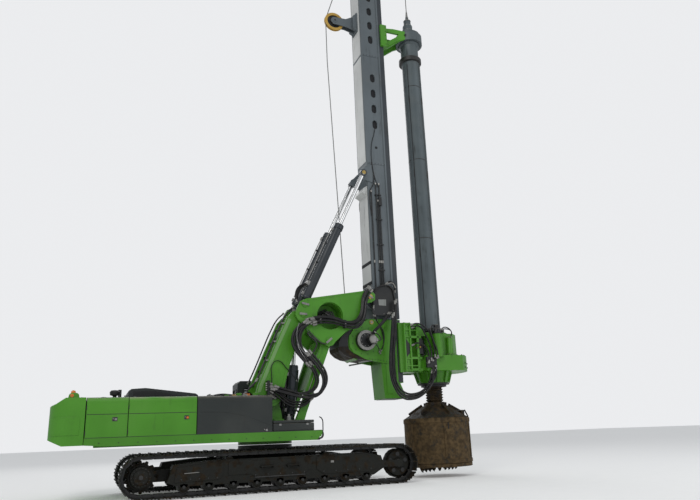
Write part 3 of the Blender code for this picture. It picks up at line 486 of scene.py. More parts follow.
def bar(bm, start, end, radius, sides=16, slot=0, end_radius=None):
    """A round bar or cone between two points."""
    a = Vector(start)
    b = Vector(end)
    turn = (b - a).to_track_quat("Z", "Y").to_matrix().to_4x4()
    made = bmesh.ops.create_cone(bm, cap_ends=True, segments=sides, radius1=radius,
                                 radius2=radius if end_radius is None else end_radius,
                                 depth=(b - a).length, matrix=Matrix.Translation((a + b) / 2) @ turn)
    return tag(made["verts"], slot)


def disc(bm, at, y, radius, sides=24, slot=0):
    """A round bar along Y between two Y values; at is a point's X and Z."""
    return bar(bm, (at[0], y[0], at[1]), (at[0], y[1], at[1]), radius, sides, slot)


def solid(bm, points, move, slot=0):
    """A flat outline pushed along a vector into a closed solid."""
    verts = [bm.verts.new(p) for p in points]
    grown = bmesh.ops.extrude_face_region(bm, geom=[bm.faces.new(verts)], use_keep_orig=True)
    moved = [v for v in grown["geom"] if isinstance(v, bmesh.types.BMVert)]
    bmesh.ops.translate(bm, verts=moved, vec=move)
    faces = list({f for v in verts + moved for f in v.link_faces})
    bmesh.ops.recalc_face_normals(bm, faces=faces)
    return tag(verts + moved, slot)


def plate(bm, outline, y, slot=0):
    """A plate with its outline in X and Z, between two Y values."""
    return solid(bm, [(x, y[0], z) for x, z in outline], (0.0, y[1] - y[0], 0.0), slot)


def floor_plate(bm, outline, z, slot=0):
    """A plate with its outline in X and Y, between two heights."""
    return solid(bm, [(x, y, z[0]) for x, y in outline], (0.0, 0.0, z[1] - z[0]), slot)


def ribbon(bm, path, z, thick, slot=0):
    """An upright strip along a path in X and Y, standing outward by its thickness."""
    outer = []
    for i, (x, y) in enumerate(path):
        a = Vector(path[max(i - 1, 0)])
        b = Vector(path[min(i + 1, len(path) - 1)])
        along = (b - a).normalized()
        outer.append((x + along.y * thick, y - along.x * thick))
    return floor_plate(bm, list(path) + outer[::-1], z, slot)


def turned(bm, profile, at, axis="Z", steps=32, slot=0):
    """A closed profile of (radius, height) spun round an upright axis, or one along X or Y."""
    part = bmesh.new()
    verts = [part.verts.new((r, 0.0, h)) for r, h in profile]
    for i, vert in enumerate(verts):
        part.edges.new((vert, verts[(i + 1) % len(verts)]))
    bmesh.ops.spin(part, geom=part.verts[:] + part.edges[:], axis=(0, 0, 1), cent=(0, 0, 0),
                   angle=tau, steps=steps, use_merge=True)
    bmesh.ops.remove_doubles(part, verts=part.verts[:], dist=0.00002)
    bmesh.ops.recalc_face_normals(part, faces=part.faces[:])
    turn = {"Z": Matrix(), "Y": Matrix.Rotation(-pi / 2, 4, "X"),
            "X": Matrix.Rotation(pi / 2, 4, "Y")}[axis]
    bmesh.ops.transform(part, verts=part.verts[:], matrix=Matrix.Translation(at) @ turn)
    for face in part.faces:
        face.material_index = slot
    spare = bpy.data.meshes.new("turned")
    part.to_mesh(spare)
    part.free()
    bm.from_mesh(spare)
    bpy.data.meshes.remove(spare)


def bolts(bm, places, direction, radius=0.014, tall=0.012, slot=0):
    """Hexagon heads standing on a surface."""
    along = Vector(direction).normalized()
    for spot in places:
        bar(bm, Vector(spot) - along * 0.002, Vector(spot) + along * tall, radius, 6, slot)


def ring_of(at, radius, count, axis="Y", start=0.0):
    """Points on a circle about a point, round the given axis."""
    spots = []
    for i in range(count):
        angle = start + tau * i / count
        u, v = radius * cos(angle), radius * sin(angle)
        offset = {"Y": (u, 0.0, v), "Z": (u, v, 0.0), "X": (0.0, u, v)}[axis]
        spots.append(Vector(at) + Vector(offset))
    return spots


def row(start, end, count):
    """Evenly spaced points from one to another."""
    a = Vector(start)
    b = Vector(end)
    return [a.lerp(b, i / (count - 1)) for i in range(count)]


def arc(at, radius, start, end, steps):
    angles = [radians(start + (end - start) * i / steps) for i in range(steps + 1)]
    return [(at[0] + radius * cos(a), at[1] + radius * sin(a)) for a in angles]


def tube(bm, route, radius, sides=10, smooth=5, slot=0, closed=False):
    """A hose, pipe or rope along a smooth route."""
    curve = bpy.data.curves.new("route", "CURVE")
    curve.dimensions = "3D"
    curve.bevel_depth = radius
    curve.bevel_resolution = max(0, sides // 2 - 2)
    curve.resolution_u = smooth
    curve.use_fill_caps = True
    spline = curve.splines.new("BEZIER")
    spline.bezier_points.add(len(route) - 1)
    spline.use_cyclic_u = closed
    for point, spot in zip(spline.bezier_points, route):
        point.co = spot
        point.handle_left_type = "AUTO"
        point.handle_right_type = "AUTO"
    holder = bpy.data.objects.new("route", curve)
    bpy.context.scene.collection.objects.link(holder)
    view = bpy.context.evaluated_depsgraph_get()
    mesh = bpy.data.meshes.new_from_object(holder.evaluated_get(view))
    bpy.data.objects.remove(holder, do_unlink=True)
    part = bmesh.new()
    part.from_mesh(mesh)
    bmesh.ops.remove_doubles(part, verts=part.verts[:], dist=0.00001)
    for face in part.faces:
        face.material_index = slot
    part.to_mesh(mesh)
    part.free()
    bm.from_mesh(mesh)
    bpy.data.meshes.remove(mesh)


def hose(bm, route, radius=None, ends=1, smooth=5):
    """A hose with crimped metal ends; slot 0 is rubber and slot 1 the fittings."""
    radius = radius or sizes().hose_radius
    tube(bm, route, radius, smooth=smooth)
    if ends:
        for a, b in ((route[0], route[1]), (route[-1], route[-2])):
            start = Vector(a)
            along = (Vector(b) - start).normalized()
            bar(bm, start - along * radius, start + along * radius * 3, radius * 1.18, 12, ends)
            bar(bm, start - along * radius * 1.2, start + along * radius * 0.6, radius * 1.4, 6, ends)


def shape_of(node):
    """A CAD node's shape with its flat faces joined."""
    bm = bmesh.new()
    bm.from_mesh(NODES[node].data)
    bmesh.ops.translate(bm, verts=bm.verts[:], vec=-SHIFT)
    bmesh.ops.remove_doubles(bm, verts=bm.verts[:], dist=0.00005)
    bmesh.ops.dissolve_limit(bm, angle_limit=radians(1), verts=bm.verts[:], edges=bm.edges[:])
    return bm


BODY_OF = {n: b for b, members in frame["record"]["behaviour"]["bodies"].items() for n in members}


def skin(node, materials, bevel=None, segments=2, name=None):
    """A CAD node's own shape with rounded edges, which replaces it."""
    bm = shape_of(node)
    return piece(name or f"{node}_skin", bm, materials, BODY_OF[node], (node,),
                 sizes().edge if bevel is None else bevel, segments)


def pad(bm, middle, size, tilt, slot):
    """A stuffed seat pad: crowned, pulled in between its corners, with two sewn channels."""
    part = bmesh.new()
    bmesh.ops.create_cube(part, size=2.0)
    bmesh.ops.subdivide_edges(part, edges=part.edges[:], cuts=15, use_grid_fill=True)
    for vert in part.verts:
        u, v, w = vert.co
        u, v = u * (1.0 - 0.05 * (1.0 - v * v)), v * (1.0 - 0.05 * (1.0 - u * u))
        swell = 0.62 + 0.38 * sqrt(max(0.0, (1.0 - u ** 6) * (1.0 - v ** 6)))
        sewn = sum(0.16 / (1.0 + ((v - seam) / 0.06) ** 2) for seam in (-0.52, 0.52))
        edge = 1.0 - 0.06 * w * w
        vert.co = (u * edge, v * edge, w * (swell - sewn) if w > 0 else w * swell)
    place = Matrix.Translation(middle) @ tilt @ Matrix.Diagonal((*[x / 2 for x in size], 1.0))
    bmesh.ops.transform(part, verts=part.verts[:], matrix=place)
    for face in part.faces:
        face.material_index = slot
    spare = bpy.data.meshes.new("pad")
    part.to_mesh(spare)
    part.free()
    bm.from_mesh(spare)
    bpy.data.meshes.remove(spare)


# ---- pieces --------------------------------------------------------------------------------
class RigPiece:
    """What every operator here shares."""

    bl_options = {"REGISTER", "UNDO"}

    def execute(self, context):
        self.build()
        return {"FINISHED"}


class RIG_OT_finishes(RigPiece, bpy.types.Operator):
    """Makes the paints, metals, rubber, soil and glass"""

    bl_idname = "rig.finishes"
    bl_label = "Finishes"

    def build(self):
        make_finishes()


class RIG_OT_tracks(RigPiece, bpy.types.Operator):
    """Shoes with grouser bars and bolts on linked chains, wheels, rollers and frames"""

    bl_idname = "rig.tracks"
    bl_label = "Tracks"

    def build(self):
        for side, name in ((-1, "right"), (1, "left")):
            self.chain(name)
            self.frame(side, name)
            self.wheels(side, name)
        self.body()

    def chain(self, name):
        """One closed loop of shoes, each standing square to the loop's path."""
        track = f"track_{name}"
        lo, hi = low(track), high(track)
        radius = (hi.z - lo.z) / 2
        wheel = hi.x - radius
        pad = radius - 0.035
        length = 4 * wheel + tau * pad
        pitch = length / sizes().shoe_count
        middle = (lo.y + hi.y) / 2
        half = (hi.y - lo.y) / 2 - 0.002
        bm = bmesh.new()
        for i in range(sizes().shoe_count):
            place, angle = self.station((i + 0.5) * pitch, wheel, radius, pad)
            shoe = bmesh.new()
            box(shoe, (-0.47 * pitch, 0.47 * pitch), (-half, half), (-0.016, 0.0))
            for x, tall in ((-0.36, 0.016), (0.0, 0.034), (0.36, 0.016)):
                outline = [(x * pitch - 0.016, -0.002), (x * pitch - 0.008, tall),
                           (x * pitch + 0.008, tall), (x * pitch + 0.016, -0.002)]
                plate(shoe, outline, (-half, half))
            spots = [(x, y, 0.0) for x in (-0.045, 0.045) for y in (-0.16, -0.10, 0.10, 0.16)]
            bolts(shoe, spots, (0, 0, 1), 0.015, 0.010, 1)
            for y in (-0.13, 0.13):
                box(shoe, (-0.44 * pitch, 0.44 * pitch), (y - 0.022, y + 0.022), (-0.085, -0.014), 1)
            bar(shoe, (0.5 * pitch, -0.17, -0.052), (0.5 * pitch, 0.17, -0.052), 0.026, 10, 1)
            turn = Matrix.Rotation(angle, 4, "Y")
            bmesh.ops.transform(shoe, verts=shoe.verts[:],
                                matrix=Matrix.Translation((place[0], middle, place[1])) @ turn)
            spare = bpy.data.meshes.new("shoe")
            shoe.to_mesh(spare)
            shoe.free()
            bm.from_mesh(spare)
            bpy.data.meshes.remove(spare)
        piece(f"shoes_{name}", bm, "shoe dark_steel", "undercarriage", (track,), 0.003, 1)

    def station(self, distance, wheel, radius, pad):
        """A shoe's place on the loop, and its turn about Y."""
        straight, bend = 2 * wheel, pi * pad
        if distance < straight:
            return (-wheel + distance, radius + pad), 0.0
        distance -= straight
        if distance < bend:
            angle = distance / pad
            return (wheel + pad * sin(angle), radius + pad * cos(angle)), angle
        distance -= bend
        if distance < straight:
            return (wheel - distance, radius - pad), pi
        angle = (distance - straight) / pad
        return (-wheel - pad * sin(angle), radius - pad * cos(angle)), pi + angle

    def frame(self, side, name):
        """The long beam with its cover plates, slots, steps and the roller guards."""
        bm = shape_of(f"track_frame_{name}")
        face = 1.46
        panels = [
            [(-2.46, 0.34), (-2.40, 0.66), (-1.72, 0.72), (-1.46, 0.76), (-1.36, 0.76),
             (-1.36, 0.46), (-1.46, 0.36)],
            [(-1.24, 0.44), (-1.24, 0.70), (-1.16, 0.76), (-0.72, 0.76), (-0.66, 0.73),
             (0.62, 0.73), (0.68, 0.76), (0.80, 0.76), (0.80, 0.46), (0.70, 0.46), (0.60, 0.37),
             (-0.60, 0.37), (-0.72, 0.44)],
            [(0.92, 0.46), (0.92, 0.72), (1.04, 0.76), (2.14, 0.76), (2.48, 0.68), (2.58, 0.44),
             (2.40, 0.34), (1.10, 0.34)],
        ]
        for outline in panels:
            plate(bm, outline, span(side, face - 0.004, face + 0.016))
        plate(bm, [(-2.24, 0.52), (-2.24, 0.535), (-1.91, 0.545), (-1.91, 0.53)],
              span(side, face + 0.012, face + 0.019), 2)
        box(bm, (1.29, 1.37), span(side, face + 0.012, face + 0.02), (0.59, 0.64), 2)
        box(bm, (-0.62, 0.62), span(side, face + 0.004, face + 0.03), (0.345, 0.372), 1)
        spots = []
        for x0, x1, z in ((-2.30, -1.50, 0.40), (-0.60, 0.60, 0.41), (1.10, 2.36, 0.40)):
            spots += row((x0, side * (face + 0.016), z), (x1, side * (face + 0.016), z), 5)
        bolts(bm, spots, (0, side, 0), 0.017, 0.012, 1)
        for i in range(9):
            x = -2.24 + 0.56 * i
            disc(bm, (x, 0.236), span(side, 1.05, 1.43), 0.128, 20, 1)
            for y0, y1 in ((1.00, 1.035), (1.425, 1.46)):
                disc(bm, (x, 0.236), span(side, y0, y1), 0.075, 16)
                box(bm, (x - 0.085, x + 0.085), span(side, y0, y1), (0.236, 0.30))
            disc(bm, (x, 0.236), span(side, 1.455, 1.475), 0.035, 12, 1)
        for x in (-1.2, 1.2):
            disc(bm, (x, 0.79), span(side, 1.08, 1.38), 0.07, 20, 1)
            box(bm, (x - 0.07, x + 0.07), span(side, 1.38, 1.42), (0.72, 0.83))
        for x in (-0.32, 0.32):
            box(bm, (x - 0.17, x + 0.17), span(side, face, 1.575), (0.585, 0.605))
            for end in (x - 0.15, x + 0.13):
                box(bm, (end, end + 0.02), span(side, face, 1.57), (0.55, 0.59))
        bar(bm, (2.50, side * 1.23, 0.49), (2.92, side * 1.23, 0.49), 0.085, 16, 1)
        piece(f"frame_{name}", bm, "track dark_steel silver", "undercarriage",
              (f"track_frame_{name}",), 0.006)

    def wheels(self, side, name):
        centre = (low(f"sprocket_{name}") + high(f"sprocket_{name}")) / 2
        middle = (low(f"track_{name}").y + high(f"track_{name}").y) / 2
        bm = shape_of(f"sprocket_{name}")
        at = (centre.x, side * 1.44, centre.z)
        bolts(bm, ring_of(at, 0.195, 18), (0, side, 0), 0.014, 0.014, 1)
        bolts(bm, ring_of((centre.x, side * 1.50, centre.z), 0.12, 6), (0, side, 0), 0.012, 0.01, 1)
        disc(bm, (centre.x, centre.z), span(side, 1.495, 1.515), 0.05, 20, 1)
        turned(bm, [(0.235, -0.02), (0.275, -0.02), (0.275, 0.02), (0.235, 0.02)],
               (centre.x, side * 1.30, centre.z), "Y")
        piece(f"drive_wheel_{name}", bm, "track dark_steel", "undercarriage",
              (f"sprocket_{name}",), 0.005)
        bm = shape_of(f"idler_{name}")
        x = -centre.x
        at = (x, middle + side * 0.12, centre.z)
        for spot in ring_of(at, 0.22, 5, start=0.3):
            bar(bm, spot, spot + Vector((0.0, side * 0.012, 0.0)), 0.055, 18, 1)
        disc(bm, (x, centre.z), span(side, 1.36, 1.43), 0.09, 24, 1)
        bolts(bm, ring_of((x, side * 1.43, centre.z), 0.06, 6), (0, side, 0), 0.01, 0.008, 1)
        piece(f"front_wheel_{name}", bm, "track dark_steel", "undercarriage",
              (f"idler_{name}",), 0.005)

    def body(self):
        bm = shape_of("car_body")
        for x in (-0.9, -0.45, 0.45, 0.9):
            for side in SIDES:
                plate(bm, [(x - 0.012, 0.45), (x + 0.012, 0.45), (x + 0.012, 0.85),
                           (x - 0.012, 0.85)], span(side, 0.79, 0.835))
        for x in (-1.156, 1.156):
            disc_at = Vector((x, 0.0, 0.66))
            turned(bm, [(0.12, -0.012), (0.17, -0.012), (0.17, 0.012), (0.12, 0.012)], disc_at,
                   "X", 28)
            bolts(bm, ring_of(disc_at + Vector((0.012 * x / abs(x), 0, 0)), 0.145, 8, "X"),
                  (x, 0, 0), 0.01, 0.008, 1)
            for side in SIDES:
                bar(bm, (x * 0.98, side * 0.5, 0.60), (x * 1.06, side * 0.5, 0.60), 0.07, 20, 1)
        piece("cross_frame", bm, "track dark_steel", "undercarriage", ("car_body",), 0.008)
        bm = shape_of("swing_ring")
        top = high("swing_ring").z - 0.10
        bolts(bm, ring_of((0, 0, top), 0.722, 40, "Z"), (0, 0, 1), 0.013, 0.018, 1)
        teeth = [(0.395, 0.0), (0.405, 0.0), (0.405, 0.08), (0.395, 0.08)]
        turned(bm, teeth, (0, 0, top - 0.06), "Z", 48, 1)
        piece("bearing", bm, "black dark_steel", "undercarriage", ("swing_ring",), 0.004)


class RIG_OT_house(RigPiece, bpy.types.Operator):
    """Tail weight, doors, roof, hood, skirt and deck"""

    bl_idname = "rig.house"
    bl_label = "House"

    def build(self):
        self.tail()
        self.deck()
        self.doors()
        self.roof()
        self.hood()
        self.tool_box()
        self.inside()

    def tail(self):
        bm = shape_of("counterweight")
        lo, hi = low("counterweight"), high("counterweight")
        bend = 0.34
        x0, half = lo.x + bend, hi.y - bend
        for side in SIDES:
            curve = [(hi.x - 0.10, side * hi.y)]
            curve += [(x, y * side) for x, y in arc((x0, half), bend, 90, 158, 8)]
            if side > 0:
                curve.reverse()
            ribbon(bm, curve[::-1], (1.44, 1.83), 0.008)
            curve = curve[1:-1]
            ribbon(bm, curve[::-1], (1.48, 1.79), 0.011)
        for y in (-0.90, 0.90):
            plate(bm, [(-4.78, hi.z - 0.01)] + arc((-4.70, hi.z + 0.05), 0.06, 180, 0, 8)
                  + [(-4.62, hi.z - 0.01)], (y - 0.02, y + 0.02))
        spots = [(x, y, hi.z) for x in (-4.52,) for y in (-1.2, -0.4, 0.4, 1.2)]
        bolts(bm, spots, (0, 0, 1), 0.03, 0.02, 1)
        for y in (-0.55, 0.55):
            bar(bm, (lo.x + 0.02, y, 1.62), (lo.x - 0.0, y, 1.62), 0.05, 24, 1)
        piece("tail_weight", bm, "green dark_steel", "house", ("counterweight",), 0.02, 3)
        bm = bmesh.new()
        base = hi.z - 0.01
        plate(bm, [(-4.80, base), (-4.78, base + 0.09), (-4.74, base + 0.12), (-4.62, base + 0.12),
                   (-4.58, base + 0.09), (-4.56, base)], (-1.36, -1.20))
        turned(bm, [(0.0, 0.0), (0.05, 0.0), (0.05, 0.05), (0.035, 0.075), (0.0, 0.085)],
               (-4.70, -1.28, base + 0.10), "Z", 20, 1)
        bar(bm, (-4.72, -1.371, base + 0.06), (-4.72, -1.355, base + 0.06), 0.04, 20, 1)
        piece("tail_lamp", bm, "green amber", "house", bevel=0.008)

    def deck(self):
        bm = shape_of("deck")
        top = 1.362
        spots = row((-4.1, -1.5, 1.26), (0.8, -1.5, 1.22), 13)
        bolts(bm, spots, (0, -1, 0), 0.012, 0.008, 1)
        for i in range(22):
            x = -0.52 + 0.07 * i
            box(bm, (x, x + 0.03), (-0.72, -0.48), (top - 0.004, top + 0.004), 1)
            box(bm, (x + 0.035, x + 0.045), (0.48, 0.72), (top - 0.004, top + 0.004), 1)
        box(bm, (-4.40, 1.07), (-1.503, -1.49), (1.368, 1.378), 1)
        disc_x, disc_z = pin("boom_lift").x, pin("boom_lift").z
        for side in SIDES:
            disc(bm, (disc_x, disc_z), span(side, 0.44, 0.455), 0.14, 28)
            disc(bm, (pin("link_swing").x, pin("link_swing").z), span(side, 0.68, 0.695), 0.09, 24, 1)
            box(bm, (-0.40, -0.36), span(side, 0.44, 0.56), (1.36, 1.80))
        turned(bm, [(0.0, 0.0), (0.20, 0.0), (0.20, 0.22), (0.14, 0.26), (0.14, 0.48), (0.0, 0.50)],
               (-0.32, 0.0, 1.36), "Z", 28, 2)
        bolts(bm, ring_of((-0.32, 0, 1.58), 0.18, 12, "Z"), (0, 0, 1), 0.01, 0.01, 1)
        piece("main_deck", bm, "green_low dark_steel black", "house", ("deck",), 0.008)
        bm = bmesh.new()
        hook = [(0.99, -1.44, 1.33), (1.09, -1.44, 1.34), (1.115, -1.44, 1.29),
                (1.10, -1.44, 1.21), (1.02, -1.44, 1.17)]
        tube(bm, hook, 0.022)
        box(bm, (0.94, 1.02), (-1.47, -1.41), (1.14, 1.20))
        hose(bm, [(1.075, -1.30, 1.70), (1.13, -1.32, 1.66), (1.15, -1.35, 1.44),
                  (1.12, -1.38, 1.22)], 0.014, 0)
        piece("deck_hook", bm, "rubber steel", "house")
        bm = bmesh.new()
        for y in (-0.66, -0.58, 0.58, 0.66):
            hose(bm, [(-0.52, y * 0.5, 1.60), (-0.30, y * 0.62, 1.92), (0.0, y * 0.5, 1.70),
                      (0.28, y * 0.3, 1.46)], 0.017)
        box(bm, (-0.56, -0.40), (-0.33, 0.33), (1.36, 1.66), 2)
        for i in range(6):
            bar(bm, (-0.40, -0.27 + 0.11 * i, 1.54), (-0.34, -0.27 + 0.11 * i, 1.54), 0.026, 12, 1)
            box(bm, (-0.52, -0.44), (-0.30 + 0.11 * i, -0.24 + 0.11 * i), (1.66, 1.72), 3)
        piece("valves", bm, "rubber steel black green", "house", bevel=0.004)

    def doors(self):
        """Two pressed sheets on each door with a crease between, a dark strip of painted shade in the crease, a
        latch and its hinges.
        """
        crease = 1.872
        flat = [("door_right_rear", -1), ("door_right_middle", -1), ("door_left_rear", 1),
                ("door_left_middle", 1)]
        for name, side in flat:
            lo, hi = low(name), high(name)
            bm = shape_of(name)
            x0, x1 = lo.x + 0.008, hi.x - 0.008
            y = span(side, 1.4985, 1.5045)
            box(bm, (x0, x1), y, (lo.z + 0.006, crease - 0.007))
            box(bm, (x0, x1), y, (crease + 0.006, hi.z - 0.12))
            # A dark steel strip behind the gap between the sheets: painted shade in the crease.
            box(bm, (x0, x1), span(side, 1.4985, 1.5012), (crease - 0.010, crease + 0.009), 1)
            latch = hi.x - 0.228 if "rear" not in name else hi.x - 0.27
            self.latch(bm, latch, side, 1.76, "middle" in name)
            if side > 0:
                x_mid = (x0 + x1) / 2
                for i in range(9):
                    z = 1.46 + 0.036 * i
                    plate(bm, [(x_mid - 0.30, z), (x_mid + 0.30, z), (x_mid + 0.30, z + 0.016),
                               (x_mid - 0.30, z + 0.016)], span(side, 1.503, 1.512), 1)
            for z in (1.48, 2.02):
                bar(bm, (lo.x - 0.001, side * 1.500, z - 0.05), (lo.x - 0.001, side * 1.500, z + 0.05),
                    0.009, 10, 1)
            piece(f"{name}_sheet", bm, "green dark_steel amber steel", name, (name,), 0.004)
        name = "door_right_front"
        lo, hi = low(name), high(name)
        bm = shape_of(name)
        x0, x1 = lo.x + 0.008, hi.x - 0.008
        bend = [(x0, 1.862), (-1.62, 1.862), (-1.35, 1.845), (-1.05, 1.795), (-0.75, 1.715),
                (-0.48, 1.615), (x1, 1.492)]
        lower = [(x0, lo.z + 0.006), (x1, lo.z + 0.006)] + [(x, z - 0.008) for x, z in bend[::-1]]
        plate(bm, lower, (-1.5045, -1.4985))
        plate(bm, [(x, z + 0.008) for x, z in bend] + [(x1, hi.z - 0.12), (x0, hi.z - 0.12)],
              (-1.5045, -1.4985))
        self.latch(bm, -0.36, -1, 1.42, False)
        piece("front_door_sheet", bm, "dark dark_steel amber steel", name, (name,), 0.004)

    def latch(self, bm, x, side, z, lever):
        """A sunk cup with a paddle."""
        face = 1.5045
        box(bm, (x - 0.055, x + 0.055), span(side, face - 0.002, face + 0.003),
            (z - 0.045, z + 0.045), 1)
        box(bm, (x - 0.005, x + 0.045), span(side, face, face + 0.010), (z - 0.026, z + 0.020),
            2 if lever else 3)
        bar(bm, (x - 0.035, side * face, z + 0.01), (x - 0.035, side * (face + 0.008), z + 0.01),
            0.012, 12, 3)
        for corner in ((-0.047, -0.037), (-0.047, 0.037), (0.047, -0.037), (0.047, 0.037)):
            spot = (x + corner[0], side * (face + 0.002), z + corner[1])
            bolts(bm, [spot], (0, side, 0), 0.004, 0.002, 3)

    def roof(self):
        bm = shape_of("house_shell")
        top = high("house_shell").z
        for x0, x1, y0, y1 in ((-4.36, -3.56, -1.25, -0.72), (-4.36, -3.56, 0.72, 1.25),
                               (-1.74, -0.72, 0.10, 1.25), (-3.46, -1.9, 0.74, 1.25),
                               (-3.46, -1.9, -1.25, -0.74), (-1.74, -0.30, -1.28, -0.86)):
            box(bm, (x0, x1), (y0, y1), (top - 0.003, top + 0.005))
            count = int((x1 - x0) / 0.09)
            for i in range(count):
                for j in range(int((y1 - y0) / 0.09)):
                    cx, cy = x0 + 0.06 + 0.09 * i, y0 + 0.055 + 0.09 * j
                    lean = Matrix.Rotation(0.8 if (i + j) % 2 else -0.8, 4, "Z")
                    box(bm, (cx - 0.022, cx + 0.022), (cy - 0.005, cy + 0.005),
                        (top + 0.003, top + 0.008), 0, lean)
        bolts(bm, [(x, y, top) for x in (-4.3, -0.75) for y in (-0.4, 0.0, 0.4)], (0, 0, 1),
              0.014, 0.01, 1)
        for y in (-0.55, 0.55):
            turned(bm, [(0.0, 0.0), (0.07, 0.0), (0.07, 0.05), (0.05, 0.06), (0.0, 0.06)],
                   (-4.05, y, top), "Z", 24, 1)
        for x, y in ((-0.45, -1.02), (-0.95, 0.45), (-1.35, 0.45)):
            turned(bm, [(0.0, 0.0), (0.055, 0.0), (0.055, 0.03), (0.04, 0.045), (0.0, 0.045)],
                   (x, y, top), "Z", 20, 2)
        piece("roof", bm, "dark dark_steel black", "house", ("house_shell",), 0.004)
        bm = bmesh.new()
        seed = random.Random(4)
        for i in range(7):
            y = -0.90 + 0.05 * i
            a = (-1.55 - 0.05 * seed.random(), y, top + 0.035)
            route = [a, (-1.30, y + 0.02, top + 0.06 + 0.03 * seed.random()),
                     (-1.0, y - 0.02, top + 0.045), (-0.75, y * 0.9, top + 0.07),
                     (-0.60, y * 0.75, top + 0.10 + 0.03 * seed.random()),
                     (-0.44, y * 0.62, top + 0.02)]
            hose(bm, route, 0.015 + 0.006 * seed.random())
        for x, y, kind in ((-1.22, -0.98, 2), (-1.05, -1.05, 3), (-0.92, -0.99, 2),
                           (-0.78, -1.06, 4), (-0.70, -0.96, 5), (-0.52, -1.08, 2)):
            wide, tall = 0.035 + 0.03 * seed.random(), 0.04 + 0.05 * seed.random()
            box(bm, (x - wide, x + wide), (y - 0.04, y + 0.04), (top, top + tall), kind)
        for x in (-1.62, -0.86):
            box(bm, (x - 0.015, x + 0.015), (-0.96, -0.55), (top, top + 0.075), 1)
        piece("roof_hoses", bm, "rubber steel green ochre grey amber", "house", bevel=0.003)

    def hood(self):
        bm = shape_of("hood_lid")
        lo = low("hood_lid")
        slope = (2.505 - 2.36) / (3.12 - 1.92)
        lean = Matrix.Rotation(atan2(slope, 1.0), 4, "Y")
        for i in range(11):
            x = -3.02 + 0.095 * i
            z = 2.505 - slope * (x + 3.12)
            box(bm, (x - 0.03, x + 0.03), (-0.50, -0.06), (z - 0.006, z + 0.012), 1, lean)
            box(bm, (x - 0.03, x + 0.03), (0.06, 0.50), (z - 0.006, z + 0.012), 1, lean)
        for side in SIDES:
            for i in range(7):
                z = lo.z + 0.035 + 0.022 * i
                stop = -3.44 + min(1.3, 0.35 + (2.46 - z) * 5.5)
                box(bm, (-3.40, stop), span(side, 0.615, 0.626), (z, z + 0.010), 1)
        for x in (-3.35, -2.1):
            box(bm, (x - 0.03, x + 0.03), (-0.632, -0.618), (lo.z + 0.002, lo.z + 0.05), 2)
        hoop = [(-3.49, -0.25, 2.36), (-3.53, -0.24, 2.36), (-3.53, 0.24, 2.36), (-3.49, 0.25, 2.36)]
        tube(bm, hoop, 0.011, smooth=2, slot=2)
        piece("hood", bm, "dark black steel", "hood_lid", ("hood_lid",), 0.006)
        bm = bmesh.new()
        top = high("house_shell").z
        turned(bm, [(0.0, 0.0), (0.055, 0.0), (0.055, 0.06), (0.042, 0.07), (0.042, 0.30),
                    (0.036, 0.30), (0.036, 0.05), (0.0, 0.05)], (-3.66, 0.42, top), "Z", 24)
        turned(bm, [(0.0, 0.10), (0.03, 0.10), (0.03, 0.0), (0.045, 0.0), (0.045, 0.10), (0.11, 0.12),
                    (0.12, 0.19), (0.09, 0.23), (0.0, 0.24)], (-3.80, -0.30, top), "Z", 28)
        piece("stack", bm, "dark_steel", "house", bevel=0.003)

    def tool_box(self):
        bm = shape_of("tool_box")
        lo, hi = low("tool_box"), high("tool_box")
        for x in (lo.x + 0.18, hi.x - 0.18):
            box(bm, (x - 0.03, x + 0.03), (lo.y - 0.008, lo.y + 0.004),
                (hi.z - 0.055, hi.z - 0.005), 1)
        piece("front_box", bm, "dark steel", "house", ("tool_box",), 0.012, 3)
        bm = shape_of("tool_box_lid")
        hi = high("tool_box_lid")
        turned(bm, [(0.0, 0.0), (0.05, 0.0), (0.05, 0.10), (0.03, 0.12), (0.03, 0.16), (0.0, 0.17)],
               (0.37, -0.98, hi.z - 0.002), "Z", 20, 1)
        box(bm, (0.0, 0.26), (-0.92, -0.84), (hi.z - 0.002, hi.z + 0.05), 2)
        for i in range(9):
            box(bm, (-0.12 + 0.11 * i, -0.07 + 0.11 * i), (-1.40, -1.10), (hi.z - 0.002, hi.z + 0.003))
        piece("front_box_lid", bm, "dark grey green", "tool_box_lid", ("tool_box_lid",), 0.01, 3)

    def inside(self):
        """The engine behind the doors."""
        bm = shape_of("engine")
        lo, hi = low("engine"), high("engine")
        for side in SIDES:
            for i in range(6):
                x = lo.x + 0.16 + 0.2 * i
                box(bm, (x - 0.07, x + 0.07), span(side, hi.y - 0.01, hi.y + 0.05), (1.74, 1.90), 1)
                bar(bm, (x, side * 0.50, 1.60), (x, side * 0.58, 1.60), 0.035, 14, 1)
            for x in (lo.x + 0.30, lo.x + 0.46):
                bar(bm, (x, side * 0.62, 1.40), (x, side * 0.62, 1.66), 0.055, 20, 2)
        turned(bm, [(0.10, 0.0), (0.42, 0.0), (0.42, 0.05), (0.10, 0.05)], (lo.x - 0.03, 0, 1.72),
               "X", 32, 1)
        for i in range(8):
            lean = Matrix.Rotation(tau * i / 8, 4, "X")
            middle = lean @ Vector((0.0, 0.22, 0.0))
            box(bm, (lo.x - 0.02, lo.x - 0.005), (middle.y - 0.16, middle.y + 0.16),
                (1.72 + middle.z - 0.05, 1.72 + middle.z + 0.05), 3, lean)
        tube(bm, [(-2.9, 0.3, 2.05), (-2.9, 0.38, 2.12), (-3.1, 0.42, 2.15), (-3.3, 0.42, 2.14)],
             0.05, slot=2)
        piece("motor", bm, "green dark_steel steel black", "house", ("engine",), 0.008)


